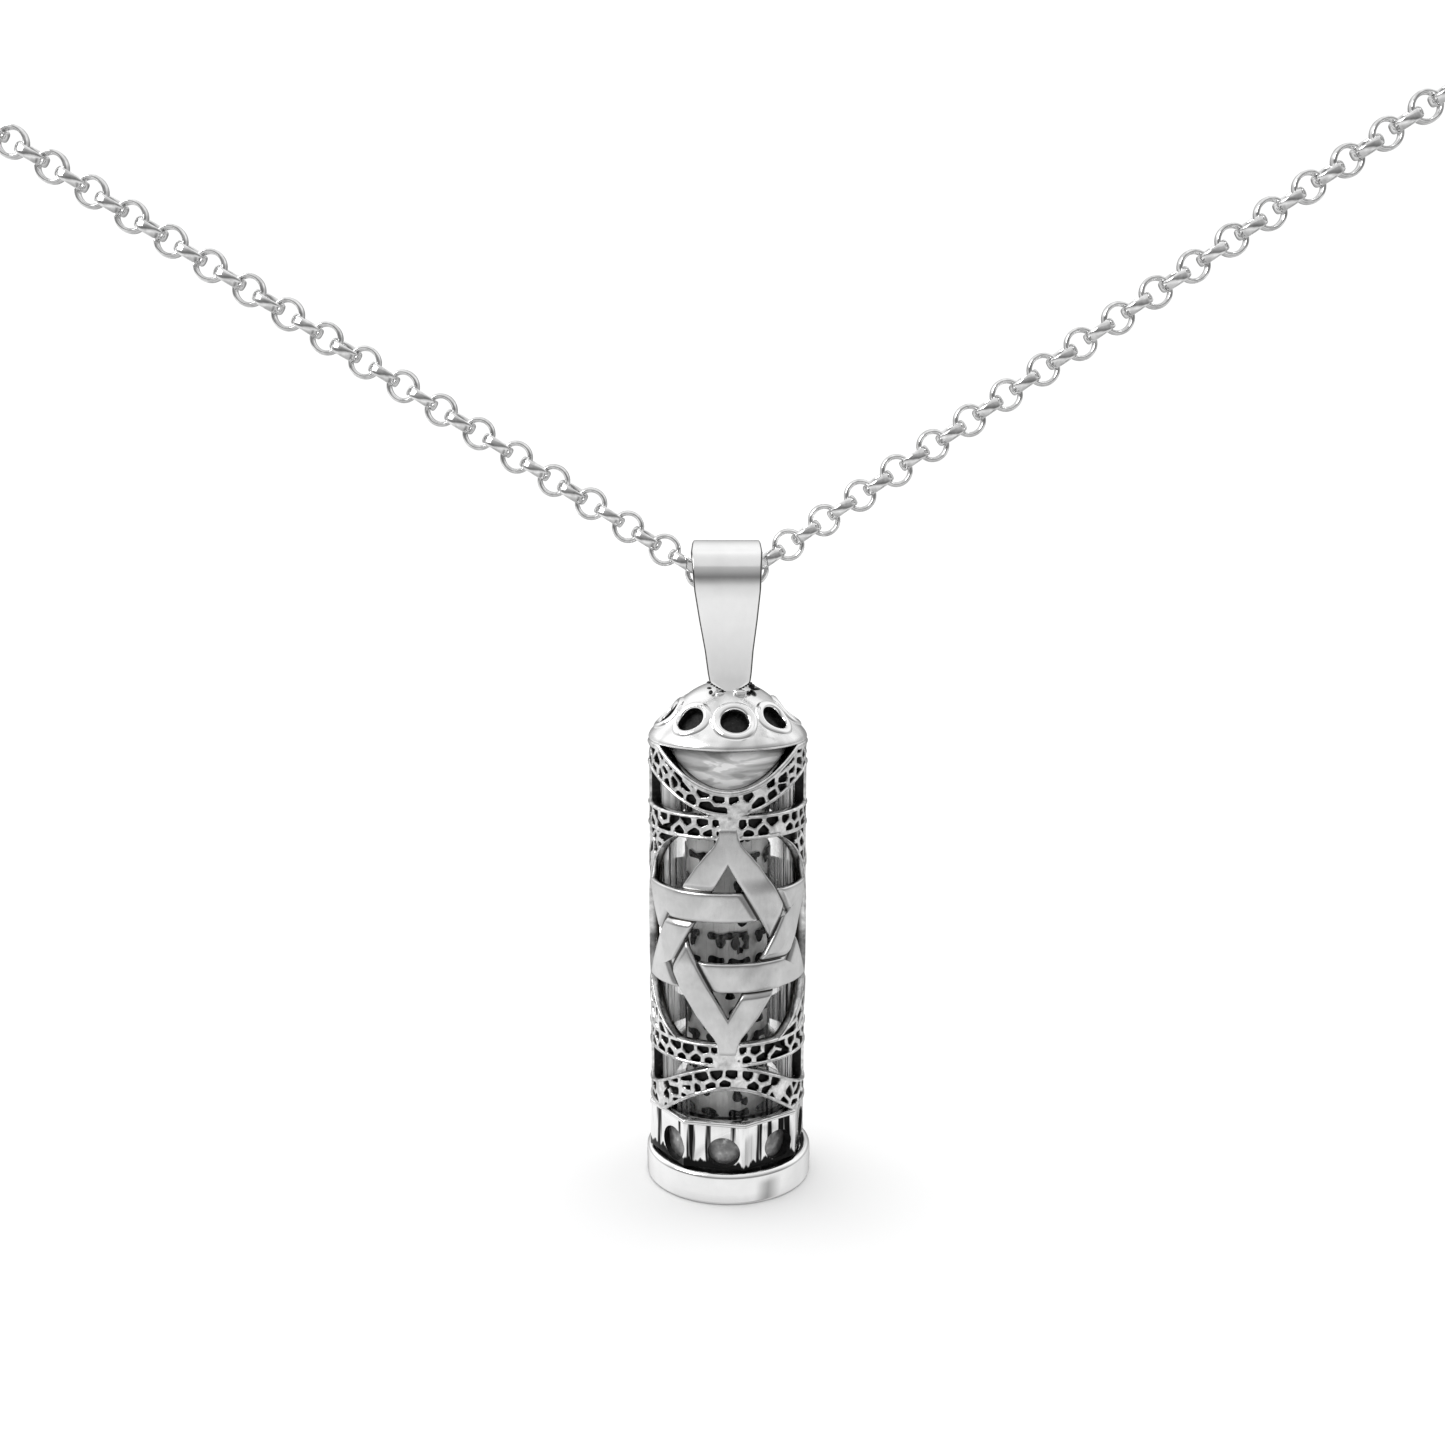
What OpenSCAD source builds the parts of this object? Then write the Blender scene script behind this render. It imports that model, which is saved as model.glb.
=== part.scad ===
// Mezuzah case pendant: a pierced round case with a woven hexagram on the front
// and the back, a clear vial with a scroll inside, hung by a folded bail on a rolo chain.
// Millimetres, +Z up, +X right, front towards -Y.
// The origin is the swing axis, where the chain crosses inside the bail.
// Heights named *_height are above the bottom of the base.

/* [Case] */
// Height of the swing axis above the bottom of the base
hang_height = 38.9; // [36:0.1:42]
// Outside radius of the pierced sleeve
sleeve_radius = 4.95; // [4:0.05:6]
// Radial thickness of the pitted bands
band_depth = 0.55; // [0.4:0.05:0.8]
// Height of the middle of the hexagram
star_height = 16.9; // [15:0.1:19]
// Distance from the middle of the hexagram to the two level bands
window_half_height = 6.46; // [5:0.01:7]
// Width of the level bands
band_width = 1.5; // [1:0.05:2]
// Radius of the round window frames, measured along the surface
frame_inner_radius = 7.3; // [6.5:0.1:7.7]
// Width of the round window frames
frame_width = 1.3; // [0.8:0.1:2]

/* [Hexagram] */
// Distance from the middle to the outer edge of the level strap
star_bar_edge = 3.15; // [2.5:0.05:4]
// Distance from the middle to the point where the outer edges of the legs meet
star_apex = 8.6; // [7:0.1:10]
// Distance from the middle at which the point of a triangle is cut off
star_tip_cut = 7.2; // [6.6:0.1:8]
// Width of a strap
strap_width = 1.85; // [1.2:0.05:2.4]
// Thickness of a strap
strap_depth = 0.34; // [0.2:0.02:0.5]
// Radial swing of a strap as it passes over and under
weave_depth = 0.12; // [0.05:0.01:0.2]

/* [Swags and arches] */
// Width of a swag or arch at its middle
swag_width = 1.6; // [1:0.05:2.2]
// Rise of the edge that faces the level band
swag_rise_band = 1.22; // [0.8:0.01:1.6]
// Rise of the edge that faces the dome or the collar
swag_rise_rim = 1.6; // [1:0.01:2]

/* [Side posts] */
// Half the width of the upright posts between the front and the back openings
post_half_width = 0.5; // [0.2:0.05:0.8]
// Radius of their inner face
post_inner_radius = 4.25; // [4.25:0.05:4.4]

/* [Dome] */
// Height of the lower edge of the dome
dome_height = 28.8; // [27:0.1:30]
// Diameter of the eight holes
dome_hole_diameter = 1.7; // [1:0.05:2.2]
// Turn of the holes about the case axis
dome_hole_turn = 6.5; // [0:0.5:22]

/* [Bail] */
// Height of the loop above the swing axis
bail_radius = 2.15; // [1.9:0.05:2.4]
// Reach of the loop in front of the swing axis
bail_reach = 2.3; // [2:0.05:2.5]
// Thickness of the strip
bail_thickness = 0.45; // [0.3:0.05:0.6]
// Height of the tip of the bail
bail_foot_height = 31.75; // [31.4:0.05:32]

/* [Collar and base] */
// Height of the top of the collar
collar_top_height = 5.2; // [5:0.05:6]
// Height of the bottom of the collar
collar_bottom_height = 2.15; // [2:0.05:2.6]
// Radius over the corners of the eight sides
collar_radius = 5.1; // [5:0.05:5.6]
// Radius of the bore of the collar
collar_bore_radius = 4.32; // [4:0.01:4.5]
// Diameter of the eight round holes
collar_hole_diameter = 1.95; // [1:0.05:2.2]
// Height of the middle of the round holes
collar_hole_height = 3.25; // [3:0.05:4]
// Turn of the holes about the case axis
collar_hole_turn = -3; // [-22:0.5:22]
// Turn of the corners of the eight sides about the case axis
collar_edge_turn = 12; // [0:0.5:45]
// Outside radius of the base
base_radius = 5.32; // [5:0.02:6]
// Height of the rim of the base
base_rim_height = 2.0; // [1.6:0.05:2.1]

/* [Vial and scroll] */
// Outside radius of the vial
vial_radius = 4.2; // [4:0.05:4.25]
// Outside radius of the foot of the vial, which sits in the plug
vial_foot_radius = 3.9; // [3.4:0.05:3.9]
// Thickness of the vial wall
vial_wall = 0.45; // [0.3:0.05:0.6]
// Height of the top of the vial
vial_top_height = 29; // [26:0.1:29]
// Outside radius of the rolled scroll
scroll_radius = 2.8; // [2:0.05:3.3]
// Height of the top of the scroll
scroll_top_height = 26.4; // [20:0.1:27.5]

/* [Chain] */
// Outside diameter of one link
link_diameter = 1.98; // [1.8:0.01:2.1]
// Radial thickness of the link wire
link_thickness = 0.3; // [0.24:0.01:0.34]
// Width of the link wire
link_width = 0.56; // [0.4:0.01:0.6]
// Distance from one link to the next when the chain is taut
link_pitch = 1.32; // [1.3:0.005:1.34]
// Rise of the left arm above level
left_rise = 32; // [25:0.5:40]
// Rise of the right arm above level
right_rise = 34.5; // [25:0.5:40]
// Number of the last link of the left arm
left_last = 38; // [30:2:44]
// Number of the last link of the right arm
right_last = 40; // [30:2:44]

/* [Hidden] */
fine = 96;
small = 48;
eps = 0.01;
quarter = sleeve_radius * PI / 2;
band_inner = sleeve_radius - band_depth;
upper_band_height = star_height + window_half_height;
lower_band_height = star_height - window_half_height - band_width;
solder_overlap = 0.06;
swag_foot_height = upper_band_height + band_width - solder_overlap;
arch_top_height = lower_band_height + solder_overlap;
frame_outer_radius = frame_inner_radius + frame_width;
strap_sink = 0.13;
strap_middle = sleeve_radius - strap_sink;
leg_slope = tan(60);
star_inner_apex = star_apex - 2 * strap_width;
strip_steps = 56;
frame_steps = 28;
side_steps = 30;
band_section = [band_inner, sleeve_radius];
post_section = [post_inner_radius, sleeve_radius];
post_gap = 0.02;
post_overlap = 0.03;
post_steps = 12;

dome_outer = [[4.95, 28.8], [4.93, 29], [4.72, 29.35], [4.3, 29.75], [3.81, 30.22],
              [3.1, 31.08], [2.25, 31.76], [1.2, 32.2], [0, 32.35]];
dome_inner = [[4.45, 28.8], [4.4, 29], [4.1, 29.35], [3.4, 30.05], [2.8, 30.7],
              [2.0, 31.26], [1.1, 31.65], [0, 31.75]];
dome_hole_radius_at = 3.6;
dome_hole_height = 30.33;
dome_hole_lift = 42;
dome_rim_wire = 0.24;
dome_rim_sink = 0.04;
dome_rim_radius = dome_hole_diameter / 2 + dome_rim_wire - dome_rim_sink;
dome_bore_length = 4;

bail_tip = bail_foot_height - hang_height;
bail_cut = 6;
bail_step = 6;
bail_leg = [[0, 0], [0.12, -1.3], [0.34, -3], [0.5, -5], [0.54, -6.5], [0.54, bail_tip]];
bail_outline = [[2.2, 2.2], [2.1, 0.7], [2.02, -0.75], [1.78, -2.6],
                [1.5, -4.45], [1.36, -5.8], [1.27, -6.43], [0.1, bail_tip]];
solder_sink = 0.35;
solder_outline = [[0, 0], [1.5, 0], [1.35, 0.18], [0.9, 0.5], [0.65, 0.75], [0, 0.8]];

seat_flange_radius = 4.6;
seat_floor_height = 0.9;
seat_groove_height = 1.6;
seat_boss_height = 3.2;
seat_top_height = 4.3;
seat_clearance = 0.04;
vial_clearance = 0.05;
rest_gap = 0.02;
vial_foot_height = seat_groove_height + rest_gap;
vial_corner = 1;
vial_taper = [4.4, 4.8];
vial_foot_inner = vial_foot_radius - vial_wall;
base_rim_round = 0.3;
base_edge_round = 0.2;

sheet_thickness = 0.12;
sheet_turns = 3;
sheet_steps = 40;
sheet_gap = 0.06;
sheet_start = 200;
scroll_foot_height = seat_boss_height + rest_gap;

link_radius = link_diameter / 2;
link_middle = link_radius - link_thickness / 2;
left_start = [-1.63, 0.15];
right_start = [1.53, 0.36];
centre_spot = [-0.05, 0.255];
centre_tilt = 3.8;
centre_link_middle = 1.06;
ring_middle = 1.4;
ring_wire = 0.25;
ring_step = 1.8;
clasp_step = 1.77;
clasp_eye = [1.15, 0.65];
clasp_neck_start = 0.6;
clasp_neck = [1.1, 1.2];
clasp_half_depth = 0.8;
clasp_plate_half = 0.25;
clasp_near = 3.4;
clasp_far = 6;
clasp_half_width = 2.3;
clasp_window = 1.45;
pivot = [2.9, 1.85];
pivot_boss_radius = 0.6;
pin_radius = 0.22;
pin_clearance = 0.02;
mouth_start = 0.6;
mouth_end = 0.03;
mouth_depth = 0.5;
mouth_cut = 2;
lever_half_depth = 0.38;
lever_knuckle_half = 0.2;
lever_radius = 0.42;
lever_arm_start = 0.5;
lever_arm_half = 0.3;
lever_neck_length = 0.9;
lever_thumb_length = 1.2;
lever_tip = 6.9;
slot_half = 0.42;
slot_start = 0.75;
slot_floor = 1;
slot_size = 3;
coil_radius = 0.3;
coil_wire = 0.06;
coil_offset = 0.31;
tag_end_radius = 1.3;
tag_hole_radius = 0.7;
tag_eye_radius = 1.3;
tag_eye_at = 4.4;
tag_far_radius = 2.1;
tag_half_depth = 0.25;

// ---------- helpers ----------

// Put what is drawn with heights above the base into the shared frame.
module case_frame() {
    translate([0, 0, -hang_height]) children();
}

// A point of the unrolled sleeve: s along the surface, h above the base, r from the axis.
function wrap(s, h, r) =
    let (a = s / sleeve_radius * 180 / PI)
    [r * sin(a), -r * cos(a), h];

// One section of a strip, from its edge a to its edge b, between two radii.
function section(a, b, radii) =
    [wrap(a[0], a[1], radii[0]), wrap(a[0], a[1], radii[1]),
     wrap(b[0], b[1], radii[1]), wrap(b[0], b[1], radii[0])];

// A solid through a list of four-point sections, open with two ends or closed in a loop.
module loft(sections, closed = false) {
    n = len(sections);
    last = closed ? n - 1 : n - 2;
    walls = [for (i = [0:last]) for (k = [0:3])
             let (a = 4 * i + k, b = 4 * i + (k + 1) % 4, j = (i + 1) % n,
                  c = 4 * j + (k + 1) % 4, d = 4 * j + k)
             each [[a, b, c], [a, c, d]]];
    e = 4 * (n - 1);
    ends = closed ? [] : [[3, 2, 1], [3, 1, 0], [e, e + 1, e + 2], [e, e + 2, e + 3]];
    polyhedron([for (q = sections) each q], concat(walls, ends));
}

function wave(s) = 1 - cos(2 * s / sleeve_radius * 180 / PI);

module swag() {
    color("silver")
        case_frame()
            loft([for (i = [0:strip_steps])
                  let (s = -quarter + 2 * quarter * i / strip_steps,
                       low = swag_foot_height + swag_rise_band * wave(s),
                       high = min(dome_height,
                                  swag_foot_height + swag_width + swag_rise_rim * wave(s)))
                  section([s, low], [s, high], band_section)]);
}

module arch() {
    color("silver")
        case_frame()
            loft([for (i = [0:strip_steps])
                  let (s = -quarter + 2 * quarter * i / strip_steps,
                       high = arch_top_height - swag_rise_band * wave(s),
                       low = max(collar_top_height,
                                 arch_top_height - swag_width - swag_rise_rim * wave(s)))
                  section([s, low], [s, high], band_section)]);
}

module level_band(height) {
    color("silver")
        case_frame()
            translate([0, 0, height])
                difference() {
                    cylinder(r = sleeve_radius, h = band_width, $fn = fine);
                    translate([0, 0, -1])
                        cylinder(r = band_inner, h = band_width + 2, $fn = fine);
                }
}

function frame_edge(radius, t) = min(quarter, sqrt(radius * radius - t * t));

module frame_side(side) {
    loft([for (i = [0:frame_steps])
          let (t = -window_half_height + 2 * window_half_height * i / frame_steps,
               near = frame_edge(frame_inner_radius, t),
               far = frame_edge(frame_outer_radius, t),
               a = side > 0 ? far : -near,
               b = side > 0 ? near : -far)
          section([a, star_height + t], [b, star_height + t], band_section)]);
}

module window_frame() {
    color("silver")
        case_frame()
            for (side = [-1, 1])
                frame_side(side);
}

// An upright post at the side, through a list of [height, half width].
module post(levels) {
    loft([for (l = levels)
          section([quarter + l[1], l[0]], [quarter - l[1], l[0]], post_section)]);
}

// Posts in the gap above the upper band and in the corner under it.
lens_levels = [[upper_band_height + band_width - post_overlap, post_half_width],
               [swag_foot_height + 2 * swag_rise_band + post_overlap, post_half_width]];
function corner_width(t) =
    min(post_half_width, quarter - frame_edge(frame_outer_radius, t) - post_gap);
corner_start = sqrt(pow(frame_outer_radius, 2) - pow(quarter - 3 * post_gap, 2));
corner_end = window_half_height + post_overlap;
corner_levels = [for (i = [0:post_steps])
                 let (t = corner_start + (corner_end - corner_start) * i / post_steps)
                 [star_height + t, corner_width(t)]];

// Corners of one upward triangle in the unrolled plane, outer and inner edge.
bar_half = (star_apex + star_bar_edge) / leg_slope;
inner_bar_half = (star_inner_apex + star_bar_edge - strap_width) / leg_slope;
outer_corners = [[0, star_apex], [bar_half, -star_bar_edge], [-bar_half, -star_bar_edge]];
inner_corners = [[0, star_inner_apex], [inner_bar_half, strap_width - star_bar_edge],
                 [-inner_bar_half, strap_width - star_bar_edge]];

// Places along a side of the triangle, from 0 to 1, where another strap crosses it.
apex_middle = (star_apex + star_inner_apex) / 2;
bar_middle = star_bar_edge - strap_width / 2;
cross_first = (apex_middle - bar_middle) / (apex_middle + bar_middle);
cross_second = apex_middle / (apex_middle + bar_middle);
bar_cross = (1 - cross_first) / 2;
side_length = bar_half + inner_bar_half;
bump_length = 1.28;
function bump(x) = abs(x) >= bump_length ? 0 : (1 + cos(180 * x / bump_length)) / 2;
function side_point(corners, k, t) = corners[k] * (1 - t) + corners[(k + 1) % 3] * t;
function cut(p) = [p[0], min(p[1], star_tip_cut)];
// How far a strap stands out (+, over) or in (-, under) at t along side k.
function rise(k, t) =
    k == 1 ? weave_depth * (bump((t - bar_cross) * side_length)
                            - bump((t - 1 + bar_cross) * side_length))
    : k == 0 ? weave_depth * (bump((t - cross_first) * side_length)
                              - bump((t - cross_second) * side_length))
    : weave_depth * (bump((t - 1 + cross_second) * side_length)
                     - bump((t - 1 + cross_first) * side_length));

// turn = 1 points up, turn = -1 points down.
module star_triangle(turn) {
    color("gainsboro")
        case_frame()
            translate([0, 0, star_height])
                rotate([0, turn > 0 ? 0 : 180, 0])
                    loft([for (k = [0:2]) for (i = [0:side_steps - 1])
                          let (t = i / side_steps,
                               middle = strap_middle + rise(k, t),
                               radii = [middle - strap_depth / 2, middle + strap_depth / 2])
                          section(side_point(inner_corners, k, t),
                                  cut(side_point(outer_corners, k, t)), radii)],
                         closed = true);
}

// ---------- chain ----------

module link(middle = link_middle) {
    h = link_width / 2;
    t = link_thickness / 2;
    rotate_extrude($fn = small)
        translate([middle, 0])
            polygon([[-t, -h + t], [-t / 2, -h], [t / 2, -h], [t, -h + t],
                     [t, h - t], [t / 2, h], [-t / 2, h], [-t, h - t]]);
}

// Local frame of an arm: +X runs outwards along the arm, +Y stays the frame's Y.
module arm(side) {
    start = side < 0 ? left_start : right_start;
    lift = side < 0 ? left_rise : right_rise;
    translate([start[0], 0, start[1]])
        rotate([0, side < 0 ? 180 + lift : -lift, 0])
            children();
}

module face_on() {
    rotate([90, 0, 0]) children();
}

module arm_links(side, first, last) {
    color("silver")
        arm(side)
            for (i = [first:2:last])
                translate([i * link_pitch, 0, 0])
                    if (i % 2 == 0) face_on() link();
                    else link();
}

function arm_end(side) = (side < 0 ? left_last : right_last) * link_pitch;

module jump_ring(side) {
    color("silver")
        arm(side)
            translate([arm_end(side) + ring_step, 0, 0])
                rotate_extrude($fn = small)
                    translate([ring_middle, 0])
                        circle(r = ring_wire, $fn = small);
}

// Local frame of the clasp: u outwards from the middle of its eye, v across, depth along Y.
module clasp_frame() {
    arm(-1)
        translate([arm_end(-1) + ring_step + clasp_step, 0, 0])
            rotate([90, 0, 0])
                children();
}

module slab(half) {
    translate([0, 0, -half]) linear_extrude(height = 2 * half) children();
}

module capsule(radius) {
    translate([clasp_near, 0]) circle(r = radius, $fn = small);
    translate([clasp_far, 0]) circle(r = radius, $fn = small);
    translate([clasp_near, -radius]) square([clasp_far - clasp_near, 2 * radius]);
}

module pin_hole(radius) {
    translate([pivot[0], pivot[1], -1])
        cylinder(r = radius, h = 2, $fn = small);
}

// ---------- nodes ----------

module chain_centre_link() {
    color("silver")
        translate([centre_spot[0], 0, centre_spot[1]])
            rotate([0, -centre_tilt, 0])
                link(centre_link_middle);
}

module chain_left_face_links() {
    arm_links(-1, 0, left_last);
}

module chain_left_edge_links() {
    arm_links(-1, 1, left_last);
}

module chain_right_face_links() {
    arm_links(1, 0, right_last);
}

module chain_right_edge_links() {
    arm_links(1, 1, right_last);
}

module jump_ring_left() {
    jump_ring(-1);
}

module jump_ring_right() {
    jump_ring(1);
}

module clasp_body() {
    color("silver")
        clasp_frame() {
            slab(clasp_plate_half)
                difference() {
                    union() {
                        circle(r = clasp_eye[0], $fn = small);
                        translate([clasp_neck_start, -clasp_neck[1] / 2]) square(clasp_neck);
                    }
                    circle(r = clasp_eye[1], $fn = small);
                }
            difference() {
                slab(clasp_half_depth)
                    difference() {
                        union() {
                            capsule(clasp_half_width);
                            translate(pivot) circle(r = pivot_boss_radius, $fn = small);
                        }
                        capsule(clasp_window);
                        translate([pivot[0] + mouth_start, clasp_window - mouth_depth])
                            square([lever_tip + mouth_end - pivot[0] - mouth_start, mouth_cut]);
                    }
                slab(slot_half)
                    translate([pivot[0] - slot_start, slot_floor]) square(slot_size);
                pin_hole(pin_radius);
            }
        }
}

module clasp_lever() {
    color("gainsboro")
        clasp_frame()
            difference() {
                union() {
                    slab(lever_knuckle_half)
                        translate(pivot) circle(r = lever_radius, $fn = small);
                    slab(lever_half_depth)
                        translate([pivot[0] + lever_arm_start, pivot[1] - lever_arm_half])
                            square([lever_tip - pivot[0] - lever_arm_start, 2 * lever_arm_half]);
                    slab(lever_knuckle_half)
                        translate([pivot[0], pivot[1] - lever_arm_half])
                            square([lever_neck_length, 2 * lever_arm_half]);
                    slab(lever_knuckle_half)
                        translate([pivot[0] - lever_arm_half, pivot[1]])
                            square([2 * lever_arm_half, lever_thumb_length]);
                }
                pin_hole(pin_radius + pin_clearance);
            }
}

module clasp_pin() {
    color("silver")
        clasp_frame()
            translate([pivot[0], pivot[1], -clasp_half_depth])
                cylinder(r = pin_radius, h = 2 * clasp_half_depth, $fn = small);
}

module clasp_spring() {
    color("dimgray")
        clasp_frame()
            for (side = [-1, 1])
                translate([pivot[0], pivot[1], side * coil_offset])
                    rotate_extrude($fn = small)
                        translate([coil_radius, 0])
                            circle(r = coil_wire, $fn = small);
}

module end_tag() {
    color("silver")
        arm(1)
            translate([arm_end(1) + 2 * ring_step, 0, 0])
                rotate([90, 0, 0])
                    slab(tag_half_depth)
                        difference() {
                            union() {
                                circle(r = tag_end_radius, $fn = small);
                                translate([0, -tag_end_radius])
                                    square([tag_eye_at, 2 * tag_end_radius]);
                                translate([tag_eye_at, 0]) circle(r = tag_far_radius, $fn = small);
                            }
                            circle(r = tag_hole_radius, $fn = small);
                            translate([tag_eye_at, 0]) circle(r = tag_eye_radius, $fn = small);
                        }
}

// Front and back leg and the loop between them, seen from the side, inset by the given amount.
function bail_front(inset) = [for (p = bail_leg) [inset + p[0] - bail_reach, p[1]]];
function bail_loop(inset) =
    [for (a = [180 - bail_step:-bail_step:bail_step])
     [(bail_reach - inset) * cos(a), (bail_radius - inset) * sin(a)]];
function bail_back(inset) = [for (p = bail_leg) [bail_reach - inset - p[0], p[1]]];
function backwards(points) = [for (i = [len(points) - 1:-1:0]) points[i]];
function across(points) = [for (p = points) [-p[0], p[1]]];

module bail() {
    color("silver")
        intersection() {
            rotate([90, 0, 90])
                translate([0, 0, -bail_cut / 2])
                    linear_extrude(height = bail_cut)
                        polygon(concat(backwards(bail_front(0)), bail_loop(0), bail_back(0),
                                       backwards(bail_back(bail_thickness)),
                                       backwards(bail_loop(bail_thickness)),
                                       bail_front(bail_thickness)));
            rotate([90, 0, 0])
                translate([0, 0, -bail_cut / 2])
                    linear_extrude(height = bail_cut)
                        polygon(concat(bail_outline, backwards(across(bail_outline))));
        }
}

module bail_solder() {
    color("gray")
        case_frame()
            translate([0, 0, dome_outer[8][1] - solder_sink])
                rotate_extrude($fn = fine)
                    polygon(solder_outline);
}

module dome() {
    color("silver")
        case_frame()
            difference() {
                rotate_extrude($fn = fine)
                    polygon(concat(dome_outer, [for (i = [7:-1:0]) dome_inner[i]]));
                dome_hole_places()
                    translate([0, 0, -dome_bore_length / 2])
                        cylinder(d = dome_hole_diameter, h = dome_bore_length, $fn = small);
            }
}

module dome_hole_places() {
    for (k = [0:7])
        rotate([0, 0, dome_hole_turn + 45 * k])
            translate([0, -dome_hole_radius_at, dome_hole_height])
                rotate([90 - dome_hole_lift, 0, 0])
                    children();
}

module dome_hole_rims() {
    color("gainsboro")
        case_frame()
            dome_hole_places()
                rotate_extrude($fn = small)
                    translate([dome_rim_radius, 0])
                        circle(r = dome_rim_wire, $fn = small);
}

module swag_front() {
    swag();
}

module swag_back() {
    rotate([0, 0, 180]) swag();
}

module band_upper() {
    level_band(upper_band_height);
}

module band_lower() {
    level_band(lower_band_height);
}

module frame_front() {
    window_frame();
}

module frame_back() {
    rotate([0, 0, 180]) window_frame();
}

module side_posts() {
    color("dimgray")
        case_frame()
            for (side = [0, 180])
                rotate([0, 0, side]) {
                    post(lens_levels);
                    post(corner_levels);
                    translate([0, 0, 2 * star_height])
                        mirror([0, 0, 1]) {
                            post(lens_levels);
                            post(corner_levels);
                        }
                }
}

module star_up_front() {
    star_triangle(1);
}

module star_down_front() {
    star_triangle(-1);
}

module star_up_back() {
    rotate([0, 0, 180]) star_triangle(1);
}

module star_down_back() {
    rotate([0, 0, 180]) star_triangle(-1);
}

module arch_front() {
    arch();
}

module arch_back() {
    rotate([0, 0, 180]) arch();
}

module collar() {
    tall = collar_top_height - collar_bottom_height;
    color("silver")
        case_frame()
            difference() {
                translate([0, 0, collar_bottom_height])
                    rotate([0, 0, collar_edge_turn])
                        cylinder(r = collar_radius, h = tall, $fn = 8);
                translate([0, 0, collar_bottom_height - 1])
                    cylinder(r = collar_bore_radius, h = tall + 2, $fn = fine);
                for (k = [0:7])
                    rotate([0, 0, collar_hole_turn + 45 * k])
                        translate([0, 0, collar_hole_height])
                            rotate([90, 0, 0])
                                cylinder(d = collar_hole_diameter, h = base_radius, $fn = small);
            }
}

module base_seat() {
    plug = collar_bore_radius - seat_clearance;
    socket = vial_foot_radius + vial_clearance;
    boss = vial_foot_inner - vial_clearance;
    color("dimgray")
        case_frame()
            rotate_extrude($fn = fine)
                polygon([[0, seat_floor_height], [seat_flange_radius, seat_floor_height],
                         [seat_flange_radius, collar_bottom_height - eps],
                         [plug, collar_bottom_height - eps], [plug, seat_top_height],
                         [socket, seat_top_height], [socket, seat_groove_height],
                         [boss, seat_groove_height], [boss, seat_boss_height],
                         [0, seat_boss_height]]);
}

module base_cap() {
    rim_middle = base_radius - base_rim_round;
    color("silver")
        case_frame()
            rotate_extrude($fn = fine) {
                translate([0, base_edge_round])
                    square([base_radius, seat_floor_height - base_edge_round]);
                square([base_radius - base_edge_round, seat_floor_height]);
                translate([base_radius - base_edge_round, base_edge_round])
                    circle(r = base_edge_round, $fn = small);
                translate([rim_middle - base_rim_round, seat_floor_height - eps])
                    square([2 * base_rim_round,
                            base_rim_height - base_rim_round - seat_floor_height + eps]);
                translate([rim_middle, base_rim_height - base_rim_round])
                    circle(r = base_rim_round, $fn = small);
            }
}

module vial_profile(inset, foot) {
    radius = vial_radius - inset;
    corner = vial_corner - inset;
    top = vial_top_height - inset;
    foot_radius = vial_foot_radius - inset;
    polygon([[0, foot], [foot_radius, foot], [foot_radius, vial_taper[0]], [radius, vial_taper[1]],
             [radius, top - corner], [radius - corner, top], [0, top]]);
    translate([radius - corner, top - corner]) circle(r = corner, $fn = small);
}

module vial() {
    color("lightcyan", 0.5)
        case_frame()
            rotate_extrude($fn = fine)
                difference() {
                    vial_profile(0, vial_foot_height);
                    vial_profile(vial_wall, vial_foot_height - 1);
                }
}

module scroll() {
    count = sheet_turns * sheet_steps;
    step = (sheet_thickness + sheet_gap) / sheet_steps;
    rim = [for (i = [0:count])
           let (r = scroll_radius - i * step, a = sheet_start - i * 360 / sheet_steps)
           [r * cos(a), r * sin(a)]];
    inside = [for (i = [count:-1:0])
              let (r = scroll_radius - sheet_thickness - i * step, a = sheet_start - i * 360 / sheet_steps)
              [r * cos(a), r * sin(a)]];
    color("linen")
        case_frame()
            translate([0, 0, scroll_foot_height])
                linear_extrude(height = scroll_top_height - scroll_foot_height)
                    polygon(concat(rim, inside));
}

chain_centre_link();
chain_left_face_links();
chain_left_edge_links();
chain_right_face_links();
chain_right_edge_links();
jump_ring_left();
jump_ring_right();
clasp_body();
clasp_lever();
clasp_pin();
clasp_spring();
end_tag();
bail();
bail_solder();
dome();
dome_hole_rims();
swag_front();
swag_back();
band_upper();
band_lower();
frame_front();
frame_back();
side_posts();
star_up_front();
star_down_front();
star_up_back();
star_down_back();
arch_front();
arch_back();
collar();
base_seat();
base_cap();
vial();
scroll();
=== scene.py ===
import math

import bpy
import numpy as np
from mathutils import Matrix, Vector

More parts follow.
